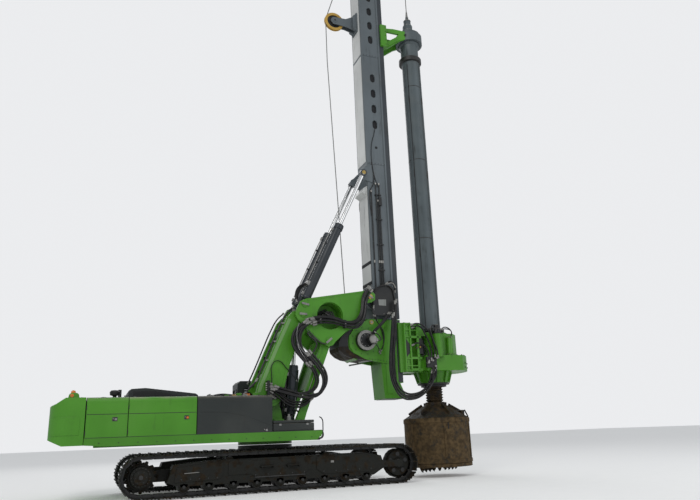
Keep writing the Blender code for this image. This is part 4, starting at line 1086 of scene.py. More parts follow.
def pin_cap(bm, at, y, side, radius, slot, metal, lean=0.0):
    """A pin's end with its lock plate and two bolts, on a plate's outer face."""
    disc(bm, at, span(side, y - 0.01, y + 0.022), radius, 28, slot)
    disc(bm, at, span(side, y + 0.02, y + 0.034), radius * 0.72, 24, slot)
    turn = Matrix.Rotation(lean, 4, "Y")
    middle = Vector((at[0], side * (y + 0.038), at[1]))
    box(bm, (middle.x - radius * 1.25, middle.x + radius * 1.25),
        (middle.y - 0.006, middle.y + 0.006), (middle.z - radius * 0.34, middle.z + radius * 0.34),
        metal, turn)
    for reach in (-0.95, 0.95):
        spot = middle + turn @ Vector((reach * radius, 0.0, 0.0))
        bolts(bm, [spot], (0, side, 0), radius * 0.17, 0.016, metal)


class RIG_OT_linkage(RigPiece, bpy.types.Operator):
    """Boom, link, triangle frame and both pairs of rams"""

    bl_idname = "rig.linkage"
    bl_label = "Front linkage"

    def build(self):
        self.boom()
        self.link()
        self.triangle()
        for name, radius, side_y in (("lift", 0.12, 0.30), ("tilt", 0.125, 0.48)):
            self.rams(name, radius, side_y)

    def boom(self):
        bm = shape_of("boom")
        rear = [(0.50, 4.34), (0.13, 3.54), (-0.30, 2.54), (-0.35, 2.36)]
        inner = [(-0.26, 2.37), (-0.21, 2.52), (0.215, 3.50), (0.585, 4.30)]
        front = [(0.33, 2.38), (0.50, 3.05), (0.715, 3.62), (0.94, 3.94)]
        back = [(0.87, 3.98), (0.645, 3.66), (0.435, 3.07), (0.275, 2.42)]
        foot = (pin("boom_lift").x, pin("boom_lift").z)
        for side in SIDES:
            y = span(side, 0.577, 0.588)
            plate(bm, rear + inner, y, 3)
            plate(bm, front + back, y)
            disc(bm, foot, span(side, 0.575, 0.600), 0.19, 32)
            pin_cap(bm, foot, 0.60, side, 0.11, 1, 2, 0.5)
            disc(bm, (0.76, 3.85), span(side, 0.578, 0.592), 0.11, 28)
            disc(bm, (0.76, 3.85), span(side, 0.59, 0.604), 0.06, 24, 2)
            for x, z in ((0.02, 2.80), (0.45, 3.95)):
                turned(bm, [(0.125, -0.008), (0.155, -0.008), (0.155, 0.006), (0.125, 0.008)],
                       (x, side * 0.452, z), "Y", 28)
            for i in range(5):
                z = 2.62 + 0.38 * i
                x = -0.30 + 0.43 * (z - 2.54)
                box(bm, (x + 0.01, x + 0.05), span(side, 0.40, 0.47), (z - 0.03, z + 0.03), 1)
        piece("boom_plates", bm, "green_work black silver light_green", "boom", ("boom",), 0.007)
        bm = bmesh.new()
        for k, y in enumerate((-0.53, -0.49, -0.45, 0.49)):
            lift = 0.012 * (k % 2)
            route = [(0.66, y, 4.66), (0.47, y, 4.47), (0.28, y, 4.12 + lift), (0.08, y, 3.68),
                     (-0.14, y - lift, 3.16), (-0.30, y, 2.80), (-0.35 - lift, y, 2.68)]
            hose(bm, route, 0.020)
        for z in (4.2, 3.7, 3.2):
            x = -0.375 + 0.43 * (z - 2.54)
            box(bm, (x - 0.03, x + 0.06), (-0.56, -0.42), (z - 0.02, z + 0.02), 1)
        loop = [(0.03, -0.612, 2.50), (0.02, -0.616, 2.80), (0.04, -0.616, 3.09),
                (0.20, -0.616, 3.18), (0.42, -0.618, 2.99), (0.60, -0.60, 2.80),
                (0.72, -0.55, 2.66)]
        hose(bm, loop, 0.011)
        piece("boom_hoses", bm, "rubber silver", "boom")

    def link(self):
        bm = shape_of("boom_link")
        head, foot = (1.60, 3.72), (pin("link_swing").x, pin("link_swing").z)
        for side in SIDES:
            pin_cap(bm, foot, 0.60, side, 0.07, 1, 2)
            a, b = Vector((foot[0], 0, foot[1])), Vector((head[0], 0, head[1]))
            spots = [a.lerp(b, t) for t in (0.16, 0.30, 0.85, 0.78)]
            normal = Vector((b.z - a.z, 0, a.x - b.x)).normalized() * 0.05
            outline = [spots[0] - normal, spots[0] + normal, spots[2] + normal, spots[2] - normal]
            plate(bm, [(v.x, v.z) for v in outline], span(side, 0.577, 0.587))
            tube(bm, [spots[1] + Vector((-0.05, side * 0.595, 0.0)),
                      spots[3] + Vector((-0.05, side * 0.595, 0.0))], 0.010, slot=2)
        piece("link_arms", bm, "green_work black silver", "boom_link", ("boom_link",), 0.008)

    def triangle(self):
        bm = shape_of("triangle")
        centre = (1.66, 4.41)
        for side in SIDES:
            face = 0.72
            turned(bm, [(0.384, -0.006), (0.412, -0.006), (0.412, 0.004), (0.384, 0.008)],
                   (centre[0], side * face, centre[1]), "Y", 44)
            disc(bm, centre, span(side, 0.28, 0.30), 0.368, 44)
            pin_cap(bm, (0.94, 4.715), face, side, 0.085, 0, 3, 0.2)
            pin_cap(bm, (0.875, 4.435), face, side, 0.085, 0, 3, 0.05)
            pin_cap(bm, (1.60, 3.72), face, side, 0.085, 0, 3, -0.7)
            at = (pin("mast_tilt").x, pin("mast_tilt").z)
            disc(bm, at, span(side, face - 0.005, face + 0.015), 0.12, 28)
            pin_cap(bm, at, face + 0.01, side, 0.07, 4, 3, 0.6)
            rim = [(1.00, 4.855), (2.70, 5.150), (2.71, 5.115), (1.02, 4.82)]
            plate(bm, rim, span(side, 0.66, 0.728))
            rim = [(0.745, 4.285), (1.08, 3.965), (1.44, 3.655), (1.465, 3.68), (1.10, 3.995),
                   (0.77, 4.31)]
            plate(bm, rim, span(side, 0.66, 0.726))
        piece("frame_plates", bm, "green_work black dark_steel silver brass", "triangle",
              ("triangle",), 0.007)
        bm = bmesh.new()
        box(bm, (1.50, 1.76), (-0.52, -0.36), (4.38, 4.50), 2)
        box(bm, (1.58, 1.70), (-0.60, -0.36), (4.40, 4.56), 2)
        for i in range(5):
            x = 1.50 + 0.06 * i
            bar(bm, (x, -0.52, 4.44), (x, -0.57, 4.44), 0.026, 6, 1)
            hose(bm, [(x, -0.55, 4.45), (x - 0.01, -0.64, 4.50 + 0.01 * i),
                      (x + 0.05, -0.72, 4.46 - 0.02 * i), (x + 0.16, -0.79, 4.33),
                      (x + 0.36, -0.82, 4.23)], 0.019)
        for i in range(4):
            hose(bm, [(1.54 + 0.05 * i, -0.36, 4.48), (1.50 + 0.05 * i, -0.42, 4.58 + 0.02 * i),
                      (1.42 + 0.03 * i, -0.44, 4.50), (1.38, -0.40, 4.36)], 0.015)
        tube(bm, [(0.98, -0.742, 3.92), (1.05, -0.745, 3.84), (1.22, -0.745, 3.69),
                  (1.25, -0.71, 3.60), (1.17, -0.66, 3.41)], 0.024, slot=3)
        tube(bm, [(1.02, -0.742, 3.98), (1.14, -0.75, 3.84), (1.36, -0.745, 3.66),
                  (1.50, -0.742, 3.62)], 0.018, slot=3)
        piece("frame_hoses", bm, "rubber silver black dark_steel", "triangle", bevel=0.003)

    def rams(self, name, radius, side_y):
        """Barrels with gland, ports and pipes; plated rods with their eyes."""
        barrel, rod = f"{name}_barrel", f"{name}_rod"
        slide = Vector(JOINTS[f"{name}_rod_slide"]["axis"]).normalized()
        foot = pin(f"{name}_barrel_swing")
        end = {"lift": 1.46, "tilt": 2.68}[name]
        head = {"lift": Vector((0.76, 0.0, 3.85)), "tilt": Vector((2.97, 0.0, 8.95))}[name]
        lean = Matrix.Rotation(atan2(slide.x, slide.z), 4, "Y")
        back = lean @ Vector((-1.0, 0.0, 0.0))
        for side, side_name in ((-1, "right"), (1, "left")):
            bm = shape_of(f"{barrel}_{side_name}")
            y = Vector((0.0, side * side_y, 0.0))

            def at(distance, out=0.0, across=0.0):
                return foot + y + slide * distance + back * out + Vector((0.0, across, 0.0))

            for start, stop, wide in ((end - 0.14, end - 0.10, 1.16), (end - 0.02, end + 0.015, 1.1),
                                      (0.20, 0.235, 1.14)):
                bar(bm, at(start), at(stop), radius * wide, 28)
            ring = ring_of((0, 0, 0), radius * 0.85, 8, "Z")
            bolts(bm, [at(end + 0.012) + lean @ p for p in ring], slide, 0.012, 0.014, 1)
            for start, out in ((end - 0.22, 1.15), (0.30, 1.15)):
                box_at = at(start, radius * out)
                box(bm, (box_at.x - 0.035, box_at.x + 0.035), (box_at.y - 0.03, box_at.y + 0.03),
                    (box_at.z - 0.045, box_at.z + 0.045), 1, lean)
            inward = -side * radius * 0.55
            tube(bm, [at(end - 0.22, radius * 1.2, inward), at(end - 0.4, radius * 1.32, inward),
                      at(end * 0.5, radius * 1.32, inward), at(0.36, radius * 1.32, inward)], 0.016,
                 smooth=3, slot=1)
            for share in (0.75, 0.5, 0.27):
                clamp = at(end * share, radius * 1.15, inward)
                box(bm, (clamp.x - 0.04, clamp.x + 0.04), (clamp.y - 0.028, clamp.y + 0.028),
                    (clamp.z - 0.015, clamp.z + 0.015), 2, lean)
            disc(bm, (foot.x, foot.z), span(side, side_y - 0.062, side_y + 0.062), 0.055, 20, 1)
            piece(f"{barrel}_{side_name}_skin", bm, "ram silver black", f"{name}_barrels",
                  (f"{barrel}_{side_name}",), 0.005)
            bm = shape_of(f"{rod}_{side_name}")
            disc(bm, (head.x, head.z), span(side, side_y - 0.058, side_y + 0.058), 0.105, 28, 1)
            disc(bm, (head.x, head.z), span(side, side_y - 0.066, side_y + 0.066), 0.062, 24, 2)
            bar(bm, head + y - slide * 0.13, head + y - slide * 0.08, radius * 0.62, 24, 1)
            piece(f"{rod}_{side_name}_skin", bm, "chrome ram brass", f"{name}_rods",
                  (f"{rod}_{side_name}",), 0.004)
        bm = bmesh.new()
        if name == "tilt":
            for k in range(4):
                out = 0.18 + 0.035 * k
                a = foot + slide * 0.62 + back * 0.16 + Vector((0.0, -0.34 - 0.05 * k, 0.0))
                b = foot + slide * 0.36 + back * (out + 0.06) + Vector((0.0, -0.38 - 0.05 * k, 0.0))
                c = foot + slide * 0.12 + back * (out + 0.03) + Vector((0.0, -0.42 - 0.03 * k, 0.0))
                d = foot - slide * 0.02 + back * (0.16 + 0.02 * k) + Vector((0.0, -0.44 - 0.03 * k, 0))
                hose(bm, [a, b, c, d], 0.018)
            box_at = foot + slide * 0.62 + back * 0.13
            box(bm, (box_at.x - 0.05, box_at.x + 0.05), (-0.56, -0.32),
                (box_at.z - 0.06, box_at.z + 0.06), 1, lean)
        else:
            for k in range(2):
                a = foot + slide * 0.30 + Vector((0.14, -0.26 - 0.07 * k, 0.0))
                hose(bm, [a, a + Vector((0.07, -0.02, -0.06)), a + Vector((0.06, 0.02, -0.24)),
                          a + Vector((-0.02, 0.10, -0.36))], 0.016)
            for middle, wide in ((0.98, 0.19), (0.42, 0.13)):
                spot = foot + slide * middle
                box(bm, (spot.x - wide, spot.x + wide), (-0.20, 0.20),
                    (spot.z - 0.40, spot.z + 0.40), 2, lean)
        piece(f"{name}_hoses", bm, "rubber silver black", f"{name}_barrels")


class RIG_OT_mast(RigPiece, bpy.types.Operator):
    """Mast column, foot, winch, crown, rear arm and their fittings"""

    bl_idname = "rig.mast"
    bl_label = "Mast and winch"

    def build(self):
        self.column()
        self.side_lines()
        self.foot()
        self.winch()
        self.crown()
        self.crowd_ram()

    def column(self):
        bm = shape_of("mast")
        half = 0.38
        # The oblong holes are backed by near-black plates: painted shade of the mast's inside.
        for z in [10.73 + 0.56 * i for i in range(4)] + [13.87 + 0.55 * i for i in range(4)]:
            slot = arc((3.50, z + 0.07), 0.083, 0, 180, 8) + arc((3.50, z - 0.07), 0.083, 180, 360, 8)
            for side in SIDES:
                plate(bm, slot, span(side, half - 0.062, half - 0.05), 3)
        for side in SIDES:
            for z in (13.24, 9.36, 4.50):
                box(bm, (3.17, 3.785), span(side, half - 0.004, half + 0.012), (z - 0.028, z + 0.028))
                spots = row((3.22, side * (half + 0.012), z), (3.74, side * (half + 0.012), z), 6)
                bolts(bm, spots, (0, side, 0), 0.013, 0.010, 2)
            box(bm, (3.80, 3.948), span(side, half + 0.028, half + 0.034), (4.46, 16.24), 4)
            disc(bm, (2.97, 8.95), span(side, 0.40, 0.412), 0.10, 24)
            # A near-black disc marks a hole: painted shade.
            disc(bm, (3.50, 9.92), span(side, half - 0.004, half + 0.006), 0.045, 20, 3)
        for lo_z, hi_z in ((9.42, 13.20), (13.28, 16.24)):
            box(bm, (3.140, 3.152), (-0.31, 0.31), (lo_z, hi_z), 1)
        box(bm, (3.138, 3.152), (-0.31, 0.31), (5.46, 8.60), 1)
        # Two near-black bands across the rear face: painted shade.
        for z in (6.15, 5.52):
            box(bm, (3.130, 3.150), (-0.33, 0.33), (z - 0.05, z + 0.05), 3)
        rear = [(3.15, 8.62), (3.02, 8.52), (2.98, 8.40), (3.15, 8.30)]
        plate(bm, rear, (-0.29, 0.29), 1)
        piece("mast_column", bm, "mast light_strip dark_steel hollow rail", "mast", ("mast",), 0.006)

    def side_lines(self):
        """Pipes, hoses, a junction box and clamps down both sides of the mast."""
        bm = bmesh.new()
        for side in SIDES:
            for k, x in enumerate((3.24, 3.40, 3.455, 3.51)):
                top = (8.4, 8.66, 8.10, 8.66)[k]
                y = side * 0.405
                tube(bm, [(x, y, 5.30), (x, y, 6.2), (x, y, 7.4), (x, y, top)], 0.017, smooth=2,
                     slot=0 if k == 0 else 2)
                bar(bm, (x, y, top - 0.02), (x, y, top + 0.04), 0.026, 6, 1)
                bar(bm, (x, y, 6.12), (x, y, 6.20), 0.026, 6, 1)
            for z in (5.9, 6.7, 7.5, 8.3):
                box(bm, (3.36, 3.56), span(side, 0.378, 0.43), (z - 0.018, z + 0.018), 2)
            box(bm, (3.46, 3.56), span(side, 0.38, 0.45), (7.95, 8.22), 2)
            tube(bm, [(3.50, side * 0.385, 10.62), (3.46, side * 0.392, 10.45),
                      (3.33, side * 0.392, 9.95), (3.34, side * 0.392, 9.2),
                      (3.42, side * 0.40, 8.78), (3.49, side * 0.405, 8.56)], 0.010)
            tube(bm, [(3.30, side * 0.392, 9.4), (3.36, side * 0.40, 8.9), (3.30, side * 0.42, 8.6),
                      (3.20, side * 0.41, 8.42), (3.22, side * 0.40, 7.6)], 0.014)
        piece("mast_pipes", bm, "rubber silver black", "mast", bevel=0.003)
        bm = bmesh.new()
        outline = [(2.99, 5.22), (3.02, 4.60), (3.08, 4.50), (3.66, 4.50), (3.74, 4.60),
                   (3.76, 5.30), (3.66, 5.40), (3.20, 5.34)]
        for side in SIDES:
            plate(bm, outline, span(side, 0.512, 0.56))
            plate(bm, [(3.10, 5.20), (3.12, 4.56), (3.70, 4.56), (3.70, 5.26)],
                  span(side, 0.379, 0.515))
            plate(bm, [(3.23, 4.80), (3.46, 4.79), (3.47, 4.98), (3.22, 4.97)],
                  span(side, 0.558, 0.566), 1)
            spots = [(x, side * 0.56, z) for x, z in ((3.07, 4.66), (3.07, 5.16), (3.70, 4.66),
                                                      (3.69, 5.26), (3.38, 4.55))]
            bolts(bm, spots, (0, side, 0), 0.013, 0.010, 2)
        piece("mast_box", bm, "black grey silver", "mast", bevel=0.01)
        bm = bmesh.new()
        arch = [(3.05, -0.585, 4.72), (3.06, -0.59, 5.05), (3.20, -0.59, 5.30), (3.46, -0.59, 5.40),
                (3.64, -0.585, 5.34), (3.73, -0.58, 5.08), (3.735, -0.58, 4.66), (3.66, -0.60, 4.20)]
        hose(bm, arch, 0.022)
        for k in range(3):
            hose(bm, [(3.46 + 0.03 * k, -0.57, 5.42 + 0.03 * k), (3.62, -0.575, 5.47 + 0.03 * k),
                      (3.74 + 0.02 * k, -0.57, 5.40 + 0.02 * k), (3.78, -0.56, 5.22)], 0.015, 1)
        tube(bm, [(3.50, -0.58, 5.43), (3.70, -0.585, 5.47), (3.79, -0.58, 5.34)], 0.020, slot=1)
        for k in range(3):
            off = 0.035 * k
            hose(bm, [(3.52 + off, -0.57, 4.58), (3.36 + off, -0.62, 4.40), (3.12 + off, -0.66, 4.16),
                      (2.98 + off, -0.64, 4.02), (2.93 + off, -0.58, 3.88)], 0.022)
        for k in range(2):
            hose(bm, [(3.04 + 0.05 * k, -0.57, 4.50), (3.20, -0.50, 4.30),
                      (3.34 + 0.04 * k, -0.45, 4.05), (3.36, -0.44, 3.66), (3.26, -0.45, 3.50)], 0.014)
        piece("mast_hoses", bm, "rubber silver", "mast")

    def foot(self):
        bm = shape_of("mast_foot")
        outer = [(2.40, 4.10), (2.34, 4.07), (2.20, 3.98), (2.09, 3.87), (2.02, 3.74), (2.01, 3.60)]
        inner = [(2.30, 3.62), (2.29, 3.78), (2.34, 3.95), (2.43, 4.08)]
        plate(bm, outer + inner, (-0.40, 0.40), 1)
        lower = [(2.01, 3.60), (2.04, 3.50), (2.16, 3.39), (2.34, 3.31), (2.62, 3.265),
                 (2.92, 3.235), (2.98, 3.25), (2.92, 3.285), (2.64, 3.335), (2.44, 3.42),
                 (2.32, 3.54), (2.30, 3.62)]
        plate(bm, lower, (-0.405, 0.405), 2)
        for side in SIDES:
            face = 0.42
            bar(bm, (2.60, side * 0.37, 3.17), (3.00, side * 0.37, 3.235), 0.022, 12, 6)
            disc(bm, (3.03, 4.32), span(side, face - 0.01, face + 0.02), 0.062, 28, 5)
            disc(bm, (3.03, 4.32), span(side, face + 0.015, face + 0.03), 0.036, 20, 4)
            spots = ring_of((2.80, side * face, 3.78), 0.385, 12, start=0.2)
            bolts(bm, spots, (0, side, 0), 0.014, 0.012, 3)
            bolts(bm, row((2.92, side * face, 3.275), (3.44, side * face, 3.21), 7), (0, side, 0),
                  0.013, 0.010, 3)
            bolts(bm, row((3.06, side * face, 4.37), (3.46, side * face, 4.37), 6), (0, side, 0),
                  0.014, 0.012, 4)
            for x, z in ((3.22, 3.47), (3.28, 3.50), (3.25, 3.43)):
                bar(bm, (x, side * face, z), (x, side * (face + 0.05), z), 0.024, 10, 4)
            for a, b in (((3.46, 4.20), (3.34, 3.90)), ((3.34, 3.90), (3.40, 3.40))):
                plate(bm, [(a[0] - 0.012, a[1]), (a[0] + 0.012, a[1]), (b[0] + 0.012, b[1]),
                           (b[0] - 0.012, b[1])], span(side, face - 0.005, face + 0.014))
            plate(bm, [(3.50, 4.40), (3.62, 4.40), (3.62, 2.30), (3.44, 2.30), (3.44, 3.10),
                       (3.50, 3.16)], span(side, 0.376, 0.392))
            box(bm, (3.80, 3.948), span(side, 0.408, 0.414), (2.62, 4.40), 7)
        box(bm, (3.42, 4.00), (-0.36, 0.36), (2.162, 2.176), 3)
        piece("mast_base", bm, "green_work black head dark_steel silver brass grey rail", "mast",
              ("mast_foot",), 0.008)

    def winch(self):
        at = pin("winch_drum")
        bm = bmesh.new()
        wide = 0.325
        profile = [(0.0, wide), (0.44, wide), (0.46, wide - 0.01), (0.46, wide - 0.025),
                   (0.33, wide - 0.032)]
        profile += [(0.33, 0.032 - wide), (0.46, 0.025 - wide), (0.46, 0.01 - wide),
                    (0.44, -wide), (0.0, -wide)]
        turned(bm, profile, at, "Y", 48)
        for side in SIDES:
            ring = ring_of(at + Vector((0, side * wide, 0)), 0.38, 10)
            bolts(bm, ring, (0, side, 0), 0.014, 0.01, 1)
        piece("drum", bm, "black dark_steel", "winch_drum", ("winch_drum",), 0.004)
        bm = bmesh.new()
        turns = 18
        pitch = 2 * (wide - 0.034) / turns
        coil = []
        for i in range(turns):
            middle = wide - 0.034 - pitch * (i + 0.5)
            coil += [(0.335 + pitch * 0.42 * cos(a), middle + pitch * 0.48 * sin(a))
                     for a in (1.3, 0.7, 0.0, -0.7, -1.3)]
        turned(bm, [(0.30, coil[0][1])] + coil + [(0.30, coil[-1][1])], at, "Y", 44)
        piece("drum_rope", bm, "rope", "winch_drum")
        bm = shape_of("winch_motor")
        face = -0.54
        turned(bm, [(0.20, -0.03), (0.285, -0.03), (0.285, 0.03), (0.20, 0.03)],
               (at.x, face, at.z), "Y", 40, 1)
        bolts(bm, ring_of((at.x, face - 0.03, at.z), 0.262, 26), (0, -1, 0), 0.014, 0.016, 2)
        bolts(bm, ring_of((at.x, face - 0.004, at.z), 0.16, 10), (0, -1, 0), 0.012, 0.012, 2)
        x = at.x + 0.12
        turned(bm, [(0.0, 0.0), (0.10, 0.0), (0.12, 0.03), (0.12, 0.06), (0.0, 0.07)],
               (x, -0.79, at.z), "Y", 28, 1)
        box(bm, (x - 0.02, x + 0.14), (-0.70, -0.56), (at.z - 0.09, at.z + 0.02), 2)
        for dx, dz in ((0.10, -0.05), (0.04, -0.08), (0.12, 0.0)):
            bar(bm, (x + dx, -0.70, at.z + dz), (x + dx, -0.77, at.z + dz), 0.026, 6, 2)
        hose(bm, [(x + 0.10, -0.76, at.z - 0.05), (x + 0.20, -0.80, at.z - 0.02),
                  (x + 0.20, -0.74, at.z + 0.10), (x + 0.10, -0.66, at.z + 0.22)], 0.016, 2)
        hose(bm, [(x + 0.05, -0.76, at.z - 0.09), (x + 0.10, -0.80, at.z - 0.20),
                  (x + 0.18, -0.70, at.z - 0.27), (x + 0.26, -0.56, at.z - 0.28)], 0.014, 2)
        piece("drive_motor", bm, "black silver steel", "mast", ("winch_motor",), 0.005)

    def crown(self):
        bm = shape_of("mast_head")
        for joint in ("crown_sheave_front", "crown_sheave_rear"):
            at = pin(joint)
            for side in SIDES:
                disc(bm, (at.x, at.z), span(side, 0.148, 0.162), 0.10, 24)
                bolts(bm, [(at.x, side * 0.16, at.z)], (0, side, 0), 0.045, 0.03, 1)
                bolts(bm, ring_of((at.x, side * 0.162, at.z), 0.08, 6), (0, side, 0), 0.009, 0.008, 1)
        for side in SIDES:
            plate(bm, [(3.30, 16.40), (3.70, 16.40), (4.30, 16.80), (4.20, 16.92), (3.40, 16.80)],
                  span(side, 0.147, 0.158))
            bolts(bm, row((3.22, side * 0.28, 16.40), (3.74, side * 0.28, 16.40), 5), (0, 0, 1),
                  0.018, 0.02, 1)
            for x in (3.6, 4.0):
                bar(bm, (x, side * 0.15, 17.0), (x, side * 0.17, 17.0), 0.03, 12, 1)
        for x, z in ((3.62, 17.08), (2.95, 17.02), (4.92, 17.22)):
            bar(bm, (x, -0.15, z), (x, 0.15, z), 0.02, 12, 1)
        piece("crown", bm, "green dark_steel", "mast", ("mast_head",), 0.006)
        for joint in ("crown_sheave_front", "crown_sheave_rear", "rear_sheave"):
            self.sheave(joint)
        bm = shape_of("rear_arm")
        at = pin("rear_sheave")
        for side in SIDES:
            disc(bm, (at.x, at.z), span(side, 0.104, 0.125), 0.075, 24)
            bolts(bm, [(at.x, side * 0.125, at.z)], (0, side, 0), 0.03, 0.02, 1)
            plate(bm, [(3.09, 14.92), (3.09, 14.30), (2.98, 14.36), (2.98, 14.82)],
                  span(side, 0.10, 0.20))
        bar(bm, (2.62, -0.09, 14.52), (2.62, 0.09, 14.52), 0.03, 14, 1)
        piece("rear_bracket", bm, "mast dark_steel", "mast", ("rear_arm",), 0.006)

    def sheave(self, joint):
        at = pin(joint)
        outer = (high(joint).z - low(joint).z) / 2
        bm = bmesh.new()
        rim = [(outer, 0.045), (outer, 0.036), (outer - 0.055, 0.014), (outer - 0.055, -0.014),
               (outer, -0.036), (outer, -0.045), (outer - 0.09, -0.045), (outer - 0.09, 0.045)]
        turned(bm, rim, at, "Y", 44)
        turned(bm, [(0.05, 0.010), (outer - 0.085, 0.010), (outer - 0.085, -0.010),
                    (0.05, -0.010)], at, "Y", 44, 1)
        turned(bm, [(0.0, 0.05), (0.075, 0.05), (0.075, -0.05), (0.0, -0.05)], at, "Y", 28, 1)
        # Near-black discs on the web stand for its holes: painted shade.
        for side in SIDES:
            for spot in ring_of(at, outer * 0.52, 6):
                bar(bm, spot + Vector((0, side * 0.009, 0)), spot + Vector((0, side * 0.016, 0)),
                    outer * 0.14, 20, 2)
        rim_paint = "ochre" if joint == "rear_sheave" else "black"
        piece(f"{joint}_wheel", bm, f"{rim_paint} dark_steel hollow", joint, (joint,), 0.003)

    def crowd_ram(self):
        """The ram in the mast's front that pushes the rotary down."""
        bm = bmesh.new()
        turned(bm, [(0.053, 7.80), (0.095, 7.80), (0.095, 7.86), (0.075, 7.87), (0.075, 11.68),
                    (0.095, 11.69), (0.095, 11.75), (0.0, 11.75), (0.0, 11.66), (0.053, 11.65)],
               (3.88, 0.0, 0.0), "Z", 28)
        for z in (8.6, 10.0, 11.3):
            box(bm, (3.785, 3.818), (-0.11, 0.11), (z - 0.03, z + 0.03), 1)
        tube(bm, [(3.86, -0.09, 7.95), (3.84, -0.12, 8.2), (3.84, -0.12, 11.2), (3.86, -0.09, 11.5)],
             0.014, smooth=3, slot=1)
        piece("crowd_barrel", bm, "ram silver", "mast", bevel=0.005)
        bm = bmesh.new()
        bar(bm, (3.88, 0, 4.28), (3.88, 0, 8.10), 0.045, 24)
        bar(bm, (3.88, 0, 4.20), (3.88, 0, 4.34), 0.07, 24, 1)
        box(bm, (3.86, 4.0), (-0.09, 0.09), (4.16, 4.28), 1)
        piece("crowd_rod", bm, "chrome green_work", "rotary", bevel=0.004)


class RIG_OT_rotary(RigPiece, bpy.types.Operator):
    """Sled, gearbox with its motors, driven sleeve and their hoses"""

    bl_idname = "rig.rotary"
    bl_label = "Rotary"

    def build(self):
        self.sled()
        self.gearbox()
        self.hoses()

    def sled(self):
        bm = shape_of("rotary_sled")
        for side in SIDES:
            outer = span(side, 0.555, 0.60)
            for x0, x1 in ((3.972, 4.015), (4.145, 4.195), (4.37, 4.45)):
                box(bm, (x0, x1), outer, (2.90, 4.315))
            for z in (4.26, 4.08, 3.88, 3.25, 3.05, 2.92):
                box(bm, (3.975, 4.45), span(side, 0.50, 0.598), (z, z + 0.028))
            plate(bm, [(4.45, 4.24), (4.45, 3.93), (4.74, 3.93), (4.66, 4.08)],
                  span(side, 0.50, 0.54))
            plate(bm, [(4.45, 3.30), (4.45, 2.94), (4.62, 2.94), (4.62, 3.24)],
                  span(side, 0.50, 0.54))
            plate(bm, [(4.02, 3.86), (4.14, 3.70), (4.14, 3.44), (4.02, 3.30)],
                  span(side, 0.545, 0.575), 1)
            for z in (4.20, 4.00, 3.17, 2.99):
                bolts(bm, row((4.04, side * 0.56, z), (4.12, side * 0.56, z), 2), (0, side, 0),
                      0.014, 0.012, 2)
            bolts(bm, row((4.41, side * 0.60, 3.02), (4.41, side * 0.60, 4.18), 7), (0, side, 0),
                  0.013, 0.010, 2)
            box(bm, (3.845, 3.93), span(side, 0.419, 0.43), (2.96, 3.20), 3)
            box(bm, (3.845, 3.93), span(side, 0.419, 0.43), (4.02, 4.26), 3)
            bar(bm, (4.52, side * 0.52, 3.40), (4.52, side * 0.52, 3.78), 0.115, 24, 1)
            bar(bm, (4.52, side * 0.52, 3.78), (4.52, side * 0.52, 3.86), 0.085, 24, 1)
            bolts(bm, ring_of((4.52, side * 0.52, 3.78), 0.10, 8, "Z"), (0, 0, 1), 0.011, 0.012, 2)
        bar(bm, (4.34, -0.60, 3.57), (4.34, -0.64, 3.57), 0.03, 6, 2)
        bar(bm, (4.45, -0.60, 3.60), (4.45, -0.65, 3.60), 0.026, 6, 4)
        piece("sled", bm, "green_work black dark_steel brass ochre", "rotary", ("rotary_sled",),
              0.007)

    def gearbox(self):
        bm = shape_of("rotary_gearbox")
        front = [(5.28 + 0.88 * cos(radians(a)), 0.88 * sin(radians(a)), 3.36)
                 for a in range(-58, 59, 9)]
        bolts(bm, front, (0, 0, 1), 0.020, 0.022, 1)
        for side in SIDES:
            bolts(bm, row((4.66, side * 0.66, 3.36), (5.58, side * 0.76, 3.36), 7), (0, 0, 1),
                  0.018, 0.020, 1)
            at = Vector((4.98, side * 0.72, 3.98))
            turned(bm, [(0.0, 0.0), (0.17, 0.0), (0.17, 0.03), (0.12, 0.04), (0.12, 0.14),
                        (0.095, 0.16), (0.095, 0.25), (0.06, 0.27), (0.0, 0.27)], at, "Z", 28, 2)
            bolts(bm, ring_of(at + Vector((0, 0, 0.03)), 0.148, 10, "Z"), (0, 0, 1), 0.013, 0.014, 1)
            box(bm, (at.x - 0.16, at.x - 0.06), span(side, 0.66, 0.78), (4.06, 4.16), 2)
            at = Vector((5.46, side * 0.60, 3.36))
            turned(bm, [(0.0, 0.0), (0.13, 0.0), (0.13, 0.05), (0.10, 0.06), (0.10, 0.52),
                        (0.07, 0.56), (0.0, 0.56)], at, "Z", 28, 0)
            bolts(bm, ring_of(at + Vector((0, 0, 0.05)), 0.115, 8, "Z"), (0, 0, 1), 0.012, 0.012, 1)
            for x in (4.80, 5.15, 5.50):
                box(bm, (x - 0.015, x + 0.015), span(side, 0.54, 0.70), (3.355, 3.56))
        hub = Vector((5.15, 0.0, 4.02))
        turned(bm, [(0.395, 0.0), (0.52, 0.0), (0.52, 0.045), (0.395, 0.055)], hub, "Z", 44, 0)
        bolts(bm, ring_of(hub + Vector((0, 0, 0.045)), 0.49, 20, "Z"), (0, 0, 1), 0.014, 0.014, 1)
        for i in range(12):
            a = tau * (i + 0.5) / 12
            x, y = 5.15 + 0.50 * cos(a), 0.50 * sin(a)
            box(bm, (x - 0.05, x + 0.05), (y - 0.012, y + 0.012), (2.62, 2.93), 0,
                Matrix.Rotation(a, 4, "Z") @ Matrix.Rotation(0.3, 4, "Y"))
        turned(bm, [(0.41, -0.02), (0.47, -0.02), (0.47, 0.015), (0.41, 0.015)],
               (5.15, 0.0, 2.585), "Z", 36, 1)
        for z in (3.14, 3.02):
            bolts(bm, [(5.28 + 0.92 * cos(radians(a)), 0.92 * sin(radians(a)), z)
                       for a in range(-50, 51, 20)], (1, 0, 0), 0.02, 0.016, 1)
        piece("gearbox", bm, "green_work dark_steel black", "rotary", ("rotary_gearbox",), 0.009)
        bm = shape_of("drive_sleeve")
        bolts(bm, ring_of((5.15, 0.0, 4.20), 0.41, 16, "Z"), (0, 0, 1), 0.012, 0.012, 1)
        piece("sleeve", bm, "black dark_steel", "drive_sleeve", ("drive_sleeve",), 0.004)

